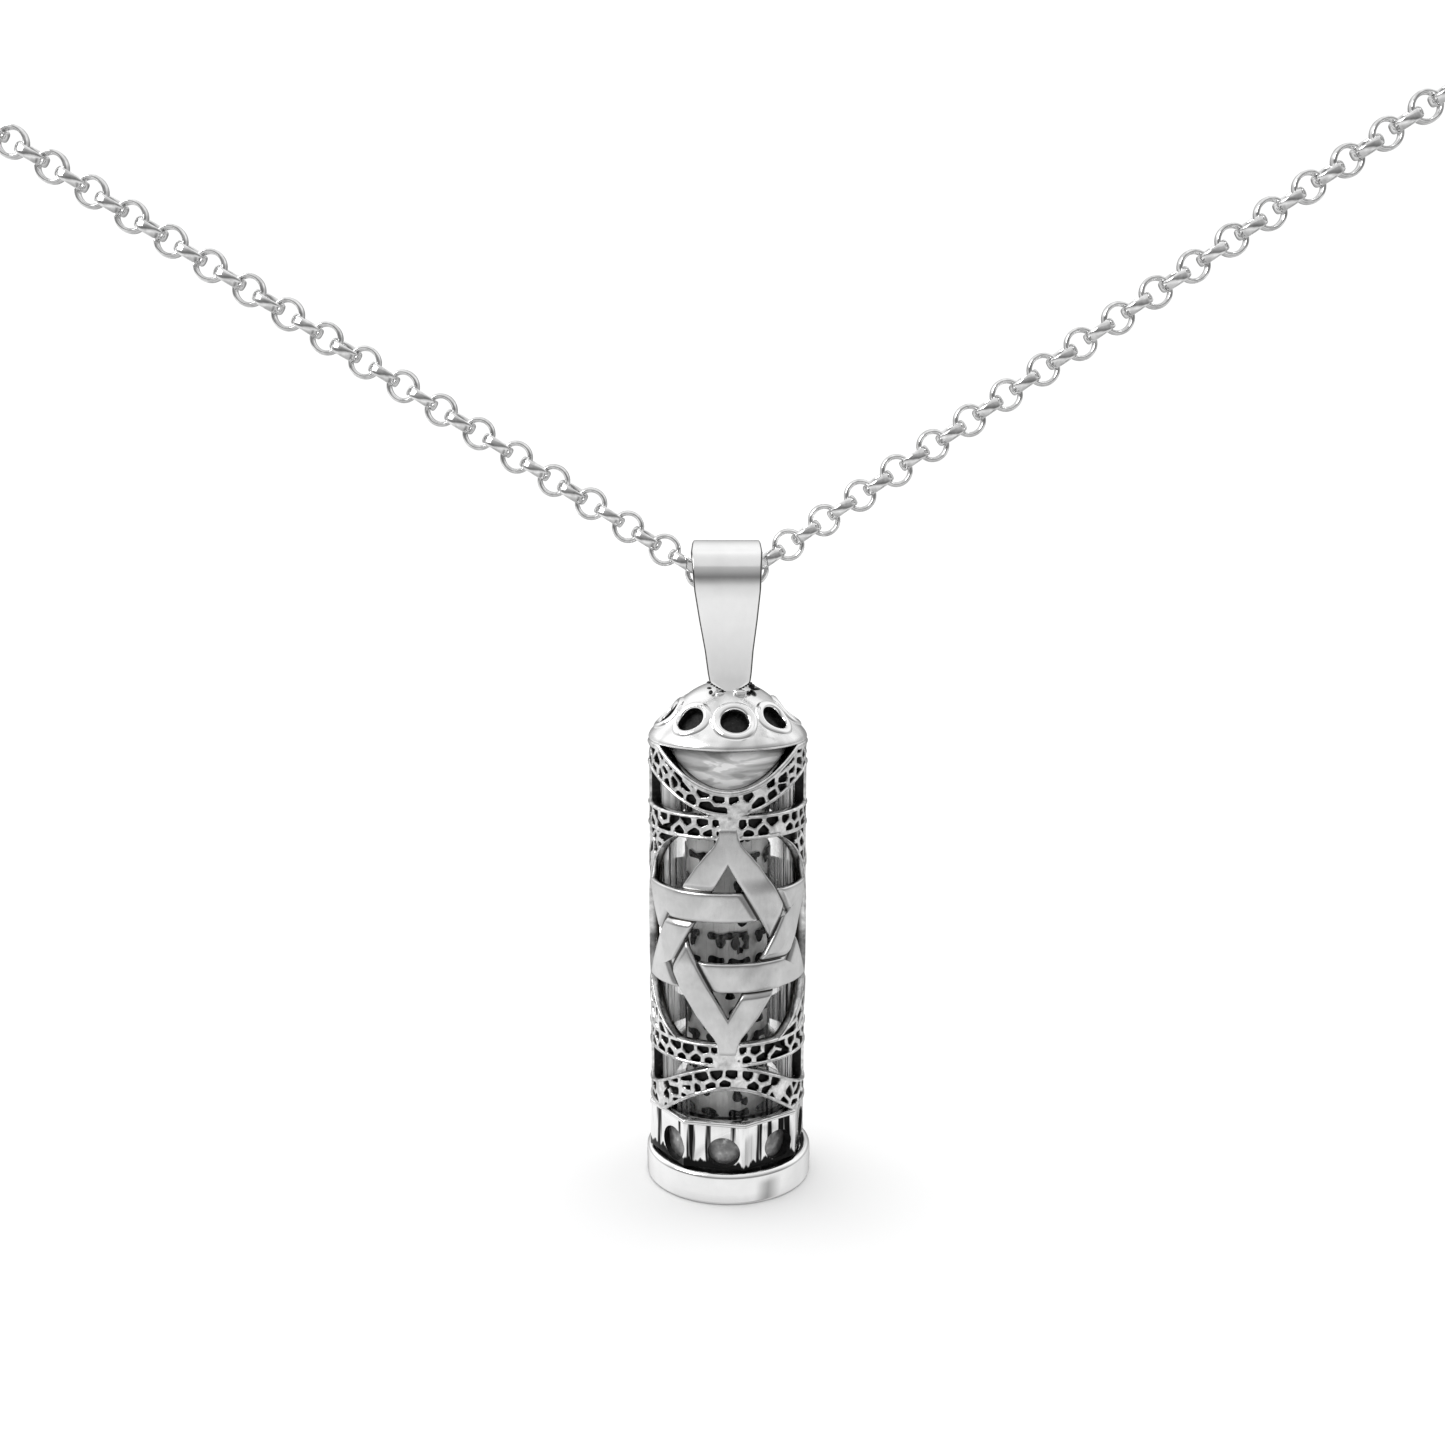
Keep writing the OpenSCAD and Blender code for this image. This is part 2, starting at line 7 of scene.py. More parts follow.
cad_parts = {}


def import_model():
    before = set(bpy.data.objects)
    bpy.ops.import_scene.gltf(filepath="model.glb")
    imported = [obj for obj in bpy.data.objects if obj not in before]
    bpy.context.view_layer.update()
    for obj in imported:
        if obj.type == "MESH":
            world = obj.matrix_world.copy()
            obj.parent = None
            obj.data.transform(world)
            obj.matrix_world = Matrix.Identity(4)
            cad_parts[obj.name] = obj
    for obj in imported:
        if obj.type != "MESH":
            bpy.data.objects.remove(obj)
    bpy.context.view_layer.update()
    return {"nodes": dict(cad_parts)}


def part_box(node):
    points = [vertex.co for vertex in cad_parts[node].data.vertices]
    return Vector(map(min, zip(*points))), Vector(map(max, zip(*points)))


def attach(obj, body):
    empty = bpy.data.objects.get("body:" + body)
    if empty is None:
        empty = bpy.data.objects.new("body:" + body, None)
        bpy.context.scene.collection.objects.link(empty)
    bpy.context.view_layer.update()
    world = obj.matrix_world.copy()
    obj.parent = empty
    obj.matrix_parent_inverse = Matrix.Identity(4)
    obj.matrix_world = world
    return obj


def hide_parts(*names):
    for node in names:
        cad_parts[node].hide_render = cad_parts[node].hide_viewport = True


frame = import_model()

MM = 0.001


# ---------- camera ----------

PICTURE_WIDTH = 1445
FOCAL_LENGTH = 1500
SENSOR_WIDTH = 36.0
CAMERA_PLACE = (-0.33, -92.4, 7.1)
CAMERA_TILT = 80


def make_camera():
    """The viewing angle of the picture: slightly from above, in front of the case."""
    data = bpy.data.cameras.new("camera")
    data.sensor_width = SENSOR_WIDTH
    data.lens = SENSOR_WIDTH * FOCAL_LENGTH / PICTURE_WIDTH
    data.clip_start = 0.002
    data.clip_end = 20.0
    camera = bpy.data.objects.new("camera", data)
    camera.location = [part * MM for part in CAMERA_PLACE]
    camera.rotation_euler = (math.radians(CAMERA_TILT), 0, 0)
    bpy.context.scene.collection.objects.link(camera)
    bpy.context.scene.camera = camera


make_camera()


# ---------- places taken from the CAD nodes, in millimetres ----------

def box(node):
    low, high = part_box(node)
    return np.array(low) / MM, np.array(high) / MM


HANG = -box("base_cap")[0][2]
RADIUS = box("band_upper")[1][0]
UPPER = [box("band_upper")[0][2] + HANG, box("band_upper")[1][2] + HANG]
LOWER = [box("band_lower")[0][2] + HANG, box("band_lower")[1][2] + HANG]
STAR = (UPPER[0] + LOWER[1]) / 2
HALF_WINDOW = UPPER[0] - STAR
BAND_DEPTH = 0.55
INNER = RADIUS - BAND_DEPTH
QUARTER = RADIUS * math.pi / 2
ROUND = 4 * QUARTER
DOME_FOOT = box("dome")[0][2] + HANG
COLLAR = [box("collar")[0][2] + HANG, box("collar")[1][2] + HANG]
BASE_RADIUS = box("base_cap")[1][0]
BASE_RIM = box("base_cap")[1][2] + HANG
VIAL_RADIUS = box("vial")[1][0]
VIAL = [box("vial")[0][2] + HANG, box("vial")[1][2] + HANG]
SCROLL_RADIUS = box("scroll")[1][0]
SCROLL = [box("scroll")[0][2] + HANG, box("scroll")[1][2] + HANG]
BAIL_RADIUS = box("bail")[1][2]
BAIL_REACH = box("bail")[1][1]
WINDOW_INNER, WINDOW_OUTER = 7.3, 8.6
VIAL_TAPER = (4.4, 4.8)
VIAL_END = 25.8


# ---------- small helpers ----------

def smooth(low, high, x):
    t = np.clip((x - low) / (high - low), 0, 1)
    return t * t * (3 - 2 * t)


def polar(r, a, h):
    """Points r from the case axis, turned by a from the front, h above the base."""
    return np.stack(np.broadcast_arrays(r * np.sin(a), -r * np.cos(a), h - HANG), -1)


def wrap(s, h, r):
    """A point of the unrolled sleeve: s along the surface, h above the base, r from the axis."""
    return polar(r, s / RADIUS, h)


def circle(steps):
    return np.arange(steps) * 2 * math.pi / steps


def lengths(line):
    """Distance along a line of points at each of them."""
    return np.r_[0, np.cumsum(np.linalg.norm(np.diff(line, axis=0), axis=1))]


def directions(line):
    d = np.gradient(line, axis=0)
    return d / np.linalg.norm(d, axis=1)[:, None]


def waviness(s, h, seed=0):
    """A slow unevenness of cast metal, from -1 to 1."""
    return (np.sin(2.1 * s + 1.3 * h + seed) + np.sin(-1.7 * s + 2.9 * h + 2 * seed)
            + np.sin(3.7 * s - 0.8 * h + 3 * seed)) / 3


def ride(name, mesh, node, body):
    """A piece with this mesh, which moves with a body and stands for a CAD node."""
    piece = bpy.data.objects.new(name, mesh)
    bpy.context.scene.collection.objects.link(piece)
    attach(piece, body)
    if node:
        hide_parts(node)


def make_piece(name, node, points, faces, materials, body, slot, sharp, values=None, index=None):
    """A mesh piece from points in millimetres.

    values are point attributes, index is a material for each face."""
    mesh = bpy.data.meshes.new(name)
    mesh.from_pydata((np.asarray(points, float).reshape(-1, 3) * MM).tolist(), [],
                     [list(map(int, f)) for f in faces])
    mesh.validate()
    for material in materials:
        mesh.materials.append(material)
    if index is not None and len(index) == len(mesh.polygons):
        mesh.polygons.foreach_set("material_index", np.asarray(index, np.int32))
    for key, data in (values or {}).items():
        layer = mesh.attributes.new(key, "FLOAT", "POINT")
        layer.data.foreach_set("value", np.asarray(data, np.float32).ravel())
    mesh.shade_smooth()
    mesh.set_sharp_from_angle(angle=math.radians(sharp))
    ride(name, mesh, node, body)


def grid_faces(rows, columns, close_rows=False, close_columns=False):
    """Quads of a grid of points stored row by row."""
    i = np.arange(rows if close_rows else rows - 1)
    j = np.arange(columns if close_columns else columns - 1)
    i, j = np.meshgrid(i, j, indexing="ij")
    k, m = (i + 1) % rows, (j + 1) % columns
    quads = [i * columns + j, k * columns + j, k * columns + m, i * columns + m]
    return np.stack(quads, -1).reshape(-1, 4)


def tube_faces(rows, columns):
    """Faces of a tube stored ring by ring, with a face over each end."""
    last = rows * columns - 1
    ends = [tuple(range(columns)), tuple(range(last, last - columns, -1))]
    return [tuple(f) for f in grid_faces(rows, columns, False, True)] + ends


def joined(parts):
    """Several parts, each with its points and faces, as the points and faces of one."""
    points, faces, start = [], [], 0
    for p, part_faces in parts:
        points.append(p.reshape(-1, 3))
        faces += [tuple(i + start for i in face) for face in part_faces]
        start += len(points[-1])
    return np.concatenate(points), faces


def revolved(profile, steps=192, closed=False):
    """Points and faces of a profile of (radius, height) turned about the case axis."""
    profile = np.asarray(profile, float)
    points = polar(profile[:, 0], circle(steps)[:, None], profile[:, 1])
    return points, grid_faces(steps, len(profile), True, closed)


def spline(points, count):
    """A smooth curve through the given points, with even spacing by length."""
    p = np.asarray(points, float)
    d = lengths(p)
    slope = np.gradient(p, d, axis=0)
    x = np.linspace(0, d[-1], count)
    i = np.clip(np.searchsorted(d, x, side="right") - 1, 0, len(d) - 2)
    w = (d[i + 1] - d[i])[:, None]
    t = ((x - d[i])[:, None]) / w
    return ((2 * t**3 - 3 * t**2 + 1) * p[i] + (t**3 - 2 * t**2 + t) * w * slope[i]
            + (3 * t**2 - 2 * t**3) * p[i + 1] + (t**3 - t**2) * w * slope[i + 1])


# ---------- materials ----------

class Nodes:
    """Short ways to add nodes to a tree."""

    def __init__(self, tree):
        self.tree = tree

    def node(self, kind, **values):
        made = self.tree.nodes.new(kind)
        for key, value in values.items():
            setattr(made, key, value)
        return made

    def join(self, source, target):
        self.tree.links.new(source, target)

    def fill(self, target, value):
        """Give a socket a number or a colour, or join it to another socket."""
        if isinstance(value, tuple):
            target.default_value = (*value, 1)
        elif isinstance(value, (int, float)):
            target.default_value = value
        else:
            self.join(value, target)

    def ramp(self, source, stops):
        made = self.node("ShaderNodeValToRGB")
        parts = made.color_ramp.elements
        while len(parts) < len(stops):
            parts.new(0.5)
        for part, (at, grey) in zip(parts, stops):
            part.position = at
            part.color = (grey, grey, grey, 1) if np.isscalar(grey) else (*grey, 1)
        self.join(source, made.inputs["Fac"])
        return made.outputs["Color"]

    def sums(self, operation, *values):
        made = self.node("ShaderNodeMath", operation=operation)
        for target, value in zip(made.inputs, values):
            self.fill(target, value)
        return made.outputs[0]


class Shader(Nodes):
    """A material with a Principled surface."""

    def __init__(self, name):
        self.material = bpy.data.materials.new(name)
        self.material.use_nodes = True
        super().__init__(self.material.node_tree)
        self.surface = self.tree.nodes["Principled BSDF"]
        self.place = self.node("ShaderNodeTexCoord").outputs["Object"]

    def stretch(self, scale):
        made = self.node("ShaderNodeMapping")
        made.inputs["Scale"].default_value = scale
        self.join(self.place, made.inputs["Vector"])
        return made.outputs["Vector"]

    def noise(self, scale, detail=3.0, source=None, distortion=0.0):
        made = self.node("ShaderNodeTexNoise")
        made.inputs["Scale"].default_value = scale
        made.inputs["Detail"].default_value = detail
        made.inputs["Distortion"].default_value = distortion
        self.join(source or self.place, made.inputs["Vector"])
        return made.outputs["Fac"]

    def mix(self, factor, a, b, blend_type="MIX"):
        made = self.node("ShaderNodeMix", data_type="RGBA", blend_type=blend_type)
        for index, value in ((0, factor), (6, a), (7, b)):
            self.fill(made.inputs[index], value)
        return made.outputs[2]

    def attribute(self, name):
        return self.node("ShaderNodeAttribute", attribute_name=name).outputs["Fac"]

    def bump(self, source, strength, distance):
        made = self.node("ShaderNodeBump")
        made.inputs["Strength"].default_value = strength
        made.inputs["Distance"].default_value = distance
        self.join(source, made.inputs["Height"])
        self.join(made.outputs["Normal"], self.surface.inputs["Normal"])

    def set(self, name, value):
        self.fill(self.surface.inputs[name], value)


def metal(name, tones, roughness, grain=900, bump=0.25, patina_and_painted_shade=None):
    """Silver: uneven tone, fine scratches in the gloss, a slight unevenness, and black where its
    attribute asks: patina in pits and on hidden faces, painted shade along edges and beside crossings.
    """
    sh = Shader(name)
    tone = sh.ramp(sh.noise(grain, 4.0, distortion=0.4), [(0.3, tones[0]), (0.72, tones[1])])
    fine = sh.noise(grain * 9, 4.0, sh.stretch((1, 1, 0.35)))
    # The attribute blackens the colour: oxide patina in pits and on hidden faces, painted shade along
    # the bail's edges and beside strap crossings.
    if patina_and_painted_shade:
        dark = sh.ramp(sh.attribute(patina_and_painted_shade), [(0.15, 0.0), (0.75, 1.0)])
        tone = sh.mix(dark, tone, (0.035, 0.033, 0.03))
    sh.set("Metallic", 1.0)
    sh.set("Base Color", tone)
    sh.set("Roughness", sh.ramp(fine, [(0.3, roughness[0]), (0.75, roughness[1])]))
    sh.bump(sh.noise(grain * 0.45, 2.0), bump, 0.00008)
    return sh.material


def dome_silver():
    """The cap: softly polished by hand, so its tone drifts slowly between white and pale grey."""
    sh = Shader("dome_silver")
    tone = sh.ramp(sh.noise(330, 1.5, distortion=1.2), [(0.36, 0.64), (0.5, 0.84), (0.62, 0.98)])
    sh.set("Metallic", 1.0)
    sh.set("Base Color", tone)
    sh.set("Roughness", sh.ramp(sh.noise(700, 2.0), [(0.3, 0.17), (0.75, 0.26)]))
    sh.bump(sh.noise(260, 1.5), 0.25, 0.00012)
    return sh.material


def blackened():
    """Oxidised silver in the recesses: almost black, grainy, with a faint metal sheen."""
    sh = Shader("blackened")
    tone = sh.ramp(sh.noise(5200, 5.0), [(0.35, 0.004), (0.62, 0.018), (0.8, 0.07)])
    sh.set("Metallic", 0.6)
    sh.set("Base Color", tone)
    sh.set("Roughness", sh.ramp(sh.noise(2600, 2.0), [(0.3, 0.3), (0.7, 0.55)]))
    sh.bump(sh.noise(6500, 3.0), 0.5, 0.00003)
    return sh.material


def around(sh, turns, rise):
    """Coordinates that run round the case axis, for marks drawn out along its height."""
    parts = sh.node("ShaderNodeSeparateXYZ")
    sh.join(sh.place, parts.inputs[0])
    angle = sh.sums("ARCTAN2", parts.outputs["X"], sh.sums("MULTIPLY", parts.outputs["Y"], -1.0))
    made = sh.node("ShaderNodeCombineXYZ")
    sh.join(sh.sums("MULTIPLY", angle, turns), made.inputs[0])
    sh.join(sh.sums("MULTIPLY", parts.outputs["Z"], rise), made.inputs[2])
    return made.outputs[0], parts.outputs["Z"]


def above_base(sh, z):
    """Height above the foot of the base, in millimetres, from a height in the scene."""
    return sh.sums("ADD", sh.sums("MULTIPLY", z, 1 / MM), HANG)


def streaked_silver():
    """The collar: drawn and polished down its height, with painted reflections as dark streaks down it,
    and black low down that is oxide and painted shade of the gap above the base.
    """
    sh = Shader("collar_silver")
    down, height = around(sh, 6.0, 60.0)
    # Painted reflections: narrow dark streaks down the flat sides, which would otherwise reflect an
    # even studio.
    painted_reflection_streak = sh.ramp(sh.noise(1.7, 2.5, down), [(0.39, 0.01), (0.425, 0.25), (0.45, 0.95), (0.7, 0.98)])
    # Black low down with a ragged edge: oxide, and painted shade of the gap above the base.
    ragged = sh.noise(2.4, 5.0, down)
    edge = sh.sums("SUBTRACT", above_base(sh, height), sh.sums("MULTIPLY", ragged, 1.5))
    low = sh.ramp(sh.sums("SUBTRACT", edge, 1.35), [(0.42, 1.0), (0.55, 0.0)])
    sh.set("Metallic", 1.0)
    sh.set("Base Color", sh.mix(low, painted_reflection_streak, (0.012, 0.012, 0.012)))
    sh.set("Roughness", sh.ramp(sh.noise(3.0, 2.0, down), [(0.3, 0.06), (0.7, 0.2)]))
    sh.bump(sh.noise(2.2, 2.0, down), 0.35, 0.00006)
    return sh.material


def seat_metal():
    """The plug seen through the holes of the collar: dull mid grey with small bright flecks."""
    sh = Shader("seat_metal")
    tone = sh.ramp(sh.noise(2300, 4.0), [(0.35, 0.25), (0.6, 0.45), (0.72, 0.9)])
    sh.set("Metallic", 0.75)
    sh.set("Base Color", tone)
    sh.set("Roughness", sh.ramp(sh.noise(1500, 2.0), [(0.3, 0.3), (0.7, 0.5)]))
    sh.bump(sh.noise(3000, 3.0), 0.4, 0.00004)
    return sh.material


def vial_clear():
    """Clear tube: open face on, with painted reflections as streaks where it turns away, its closed end
    frosted with painted swirl reflections, its foot black with painted shadow of the seat.
    """
    sh = Shader("clear")
    down, height = around(sh, 5.0, 40.0)
    # Painted reflections: light and dark streaks down the tube where it turns away.
    painted_reflection_streak = sh.ramp(sh.noise(2.3, 2.0, down), [(0.4, 0.0), (0.46, 0.1), (0.49, 0.9), (0.54, 1.0)])
    # Painted reflections: pale swirls over the closed end.
    painted_swirl_reflection = sh.ramp(sh.noise(560, 3.0, sh.stretch((0.4, 0.4, 2.1)), 1.2),
                    [(0.36, 0.4), (0.46, 0.62), (0.52, 0.72), (0.56, 1.0), (0.7, 1.0)])
    level = above_base(sh, height)
    end = sh.ramp(sh.sums("SUBTRACT", level, VIAL_END), [(0.0, 0.0), (0.5, 1.0)])
    # Painted shadow: the foot is black and opaque, the shadow of the seat.
    foot = sh.ramp(sh.sums("SUBTRACT", level, VIAL_TAPER[1]), [(0.34, 1.0), (0.42, 0.0)])
    facing = sh.node("ShaderNodeLayerWeight")
    facing.inputs["Blend"].default_value = 0.42
    open_part = sh.ramp(facing.outputs["Facing"],
                        [(0.2, 0.03), (0.45, 0.25), (0.62, 0.72), (0.95, 0.9)])
    sh.set("Base Color", sh.mix(foot, sh.mix(end, painted_reflection_streak, painted_swirl_reflection), (0.01, 0.01, 0.01)))
    closed = sh.sums("MAXIMUM", foot, sh.sums("MULTIPLY", end, 0.93))
    sh.set("Alpha", sh.sums("MAXIMUM", open_part, closed))
    gloss = sh.ramp(sh.noise(300, 2.0), [(0.3, 0.03), (0.7, 0.08)])
    matt = sh.sums("MAXIMUM", end, foot)
    sh.set("Roughness", sh.sums("ADD", gloss, sh.sums("MULTIPLY", matt, 0.4)))
    sh.set("Specular IOR Level", 0.25)
    sh.set("IOR", 1.5)
    return sh.material


def parchment():
    """The scroll: grey parchment, blotched, with painted shade of long faint creases down its height.
    """
    sh = Shader("parchment")
    down, _ = around(sh, 6.0, 160.0)
    blotch = sh.ramp(sh.noise(420, 5.0, distortion=0.8),
                     [(0.3, (0.7, 0.7, 0.695)), (0.52, (0.92, 0.92, 0.91)), (0.72, (1.0, 1.0, 0.99))])
    # Painted shade: long faint dark lines down the sheet where creases fall in shade.
    painted_crease_shade = sh.ramp(sh.noise(2.6, 2.0, down), [(0.33, 0.3), (0.42, 1.0)])
    sh.set("Base Color", sh.mix(0.4, blotch, painted_crease_shade, "MULTIPLY"))
    sh.set("Roughness", sh.ramp(sh.noise(900, 2.0), [(0.3, 0.35), (0.7, 0.6)]))
    sh.bump(sh.noise(2500, 4.0), 0.3, 0.00003)
    return sh.material


def ink():
    """The marks: black, slightly uneven where the pen ran dry."""
    sh = Shader("ink")
    sh.set("Base Color", sh.ramp(sh.noise(4000, 3.0), [(0.35, 0.002), (0.7, 0.02)]))
    sh.set("Roughness", sh.ramp(sh.noise(1800, 2.0), [(0.3, 0.3), (0.7, 0.6)]))
    sh.set("Specular IOR Level", 0.1)
    sh.bump(sh.noise(5000, 2.0), 0.3, 0.00002)
    return sh.material


SILVER = metal("polished_silver", (0.88, 0.96), (0.07, 0.14), 500, 0.22)
DOME = dome_silver()
RIM = metal("rim_silver", (0.9, 0.97), (0.05, 0.1), 900, 0.1)
BAIL = metal("bail_silver", (0.88, 0.96), (0.07, 0.14), 500, 0.22, "patina_and_painted_shade")
STRAP = metal("strap_silver", (0.62, 0.76), (0.2, 0.28), 700, 0.15, "patina_and_painted_shade")
PITTED = metal("pitted_silver", (0.5, 0.96), (0.1, 0.24), 1900, 0.8, "patina_and_painted_shade")
CHAIN = metal("chain_silver", (0.62, 0.97), (0.06, 0.15), 2600, 0.35)
BLACK = blackened()
COLLAR_SILVER = streaked_silver()
SEAT = seat_metal()
CLEAR = vial_clear()
PARCHMENT = parchment()
INK = ink()


# ---------- pitted strips ----------

PIT_DEPTH = 0.3
PIT_PITCH = 0.98
STEP = 0.05
FINE_STEP = 0.045
WIDE_STRIP = 1.8
EDGE_ROWS = np.array([0.0, 0.02, 0.05, 0.09, 0.13])
EDGE_LINE = 0.24
LINE_HEIGHT = 0.07
WEB_SHARPNESS = 28
FAR = 9


def shorter_way(gap):
    """Make differences along the sleeve go the shorter way round it."""
    gap[..., 0] = (gap[..., 0] + ROUND / 2) % ROUND - ROUND / 2
    return gap


def seeds_along(middle, width, closed, rng):
    """Middles of the pits: two staggered rows along a strip, three where it is wide.

    On a closed strip the spare ones crowd at its seam, which is the rough joint in front."""
    ends = middle[[0]] if closed else middle[:0]
    reach = lengths(np.concatenate([middle, ends]))
    count = int(round(reach[-1] / PIT_PITCH))
    spots, plain = [], []
    tangent = np.gradient(middle, axis=0)
    if closed:
        tangent = shorter_way(np.roll(middle, -1, 0) - np.roll(middle, 1, 0))
    tangent /= np.linalg.norm(tangent, axis=1)[:, None]
    across = np.stack([-tangent[:, 1], tangent[:, 0]], -1)
    for k in range(count):
        for row in (0, 1):
            at = (k + 0.5 * row + 0.25) * reach[-1] / count
            i = min(int(np.searchsorted(reach, at)), len(middle) - 1)
            wide = width[i] >= WIDE_STRIP
            rows = (-0.31, 0.31) if wide else (-0.25, 0.25)
            jitter = rng.uniform(-1, 1, 2) * (0.22, 0.12)
            spots.append(middle[i] + tangent[i] * jitter[0]
                         + across[i] * (rows[row] * width[i] + jitter[1]))
            plain.append(rng.random() < 0.04)
            if wide and row == 0:
                spots.append(middle[i] + tangent[i] * (0.22 + jitter[1]) + across[i] * jitter[0])
                plain.append(rng.random() < 0.06)
    return np.array(spots), np.array(plain)


def web_widths(plain, rng):
    """Half the width of the web between each two pits; where a web is broken, two pits join."""
    count = len(plain)
    web = rng.uniform(0.04, 0.16, (count, count))
    web = (web + web.T) / 2 + rng.uniform(0, 0.07, count)[:, None]
    broken = rng.random((count, count)) < 0.05
    web[(broken | broken.T) & ~plain[:, None] & ~plain[None]] = -FAR
    return web


def pit_field(places, room, spots, plain, closed, rng):
    """How deep inside a pit each place is, in millimetres; negative on the webs between them.

    room is how far each place lies inside the raised edge lines."""
    flat = places.reshape(-1, 2)
    way = shorter_way if closed else (lambda gap: gap)
    square = (way(flat[:, None, :] - spots[None]) ** 2).sum(-1)
    near = square.argmin(1)
    own = np.arange(len(flat)), near
    least = square[own]
    apart = way(spots[near][:, None, :] - spots[None])
    between = np.sqrt((apart ** 2).sum(-1)) + 1e-9
    wall = (square - least[:, None]) / (2 * between) - web_widths(plain, rng)[near]
    wall[own] = FAR
    wall = np.minimum(wall, FAR)
    total = np.exp(-WEB_SHARPNESS * wall).sum(1) + np.exp(-WEB_SHARPNESS * room.ravel())
    inside = -np.log(total) / WEB_SHARPNESS
    inside[plain[near]] = -0.2
    return inside.reshape(room.shape)


def row_distances(width):
    """Distance of every row of points from the low edge of a strip, closer at its two edges."""
    rim = EDGE_ROWS[-1]
    count = max(int(np.median(width) / FINE_STEP), 8)
    share = np.linspace(0, 1, count)[1:-1]
    return np.concatenate([np.outer(np.ones(len(width)), EDGE_ROWS),
                           rim + np.outer(width - 2 * rim, share),
                           width[:, None] - EDGE_ROWS[::-1]], axis=1)


def edge_lines(edge, margin, amount):
    """Height of the raised line along each edge, rounded off at the very edge."""
    line = np.exp(-((edge * EDGE_LINE / margin - 0.11) / 0.075) ** 2)
    return amount * LINE_HEIGHT * (line - smooth(0.05, 0.0, edge))


def strip(name, low, high, node, seed, closed=False, bead=(None, None), calm=(),
          lip=(EDGE_LINE, EDGE_LINE)):
    """A pitted strip of the sleeve between two edges given in the unrolled plane.

    bead is how strongly the raised line shows along each edge at each station, lip how broad
    it is; calm is a list of (s, h, radius) spots that stay plain."""
    rng = np.random.default_rng(seed)
    width = np.linalg.norm(high - low, axis=1)
    dist = row_distances(width)
    part = (dist / width[:, None])[..., None]
    places = low[:, None] * (1 - part) + high[:, None] * part
    edge = np.minimum(dist, width[:, None] - dist)
    spots, plain = seeds_along((low + high) / 2, width, closed, rng)
    for s, h, reach in calm:
        plain |= np.linalg.norm(shorter_way(spots - (s, h)), axis=1) < reach
    left = dist < width[:, None] / 2
    margin = np.where(left, *lip)
    inside = pit_field(places, edge - margin, spots, plain, closed, rng)
    pit = smooth(-0.02, 0.07, inside)
    beads = [np.ones(len(width)) if b is None else b for b in bead]
    amount = np.where(left, beads[0][:, None], beads[1][:, None])
    rise = 0.012 * waviness(places[..., 0], places[..., 1], seed) - PIT_DEPTH * pit
    rise += edge_lines(edge, margin, amount)
    outer = wrap(places[..., 0], places[..., 1], RADIUS + rise)
    back = np.concatenate([places[:, ::-6], places[:, :1]], axis=1)
    inner = wrap(back[..., 0], back[..., 1], INNER + 0 * back[..., 0])
    points = np.concatenate([outer, inner], axis=1)
    rows, columns = points.shape[:2]
    faces = grid_faces(rows, columns, closed, True)
    unseen = np.ones(inner.shape[:2])
    patina_and_painted_shade = np.concatenate([smooth(-0.05, 0.03, inside), unseen], axis=1)
    depth = np.concatenate([pit, unseen], axis=1).ravel()
    index = (depth[faces].mean(1) > 0.52).astype(int)
    if not closed:
        faces = tube_faces(rows, columns)
        index = np.r_[index, [0, 0]]
    make_piece(name, node, points, faces, [PITTED, BLACK], "case", "pitted_silver", 50,
               {"patina_and_painted_shade": patina_and_painted_shade}, index)


def turned(edge, half_turns):
    """The same strip on the back of the case."""
    return edge + np.array([half_turns * 2 * QUARTER, 0.0])


def wave(s):
    return 1 - np.cos(2 * s / RADIUS)


def joint_gap(s, spans):
    """1 along an edge, 0 where another strip joins it: spans are (from, to) in |s| from a front."""
    t = np.abs((s + QUARTER) % (2 * QUARTER) - QUARTER)
    keep = np.ones_like(t)
    for a, b in spans:
        keep *= 1 - smooth(a - 0.12, a + 0.12, t) * smooth(b + 0.12, b - 0.12, t)
    return keep


STAR_JOIN, SWAG_JOIN = (-1, 0.8), (-1, 1.3)
FRAME_JOIN = [math.sqrt(r ** 2 - HALF_WINDOW ** 2) for r in (WINDOW_INNER, WINDOW_OUTER)]


def level_bands():
    s = np.arange(0, ROUND, STEP)
    to_window = joint_gap(s, [STAR_JOIN, FRAME_JOIN])
    to_swag = joint_gap(s, [SWAG_JOIN])
    for name, span, seed, near, bead in (("band_upper", UPPER, 3, UPPER[0], (to_window, to_swag)),
                                         ("band_lower", LOWER, 8, LOWER[1], (to_swag, to_window))):
        low = np.stack([s, 0 * s + span[0]], -1)
        high = np.stack([s, 0 * s + span[1]], -1)
        calm = [(k * 2 * QUARTER, near, 0.42) for k in (0, 1)]
        strip(name + "_pitted", low, high, name, seed, True, bead, calm)


SWAG_SINK = 0.06
SWAG_RISE = 1.22
SWAG_WIDTH = 1.6


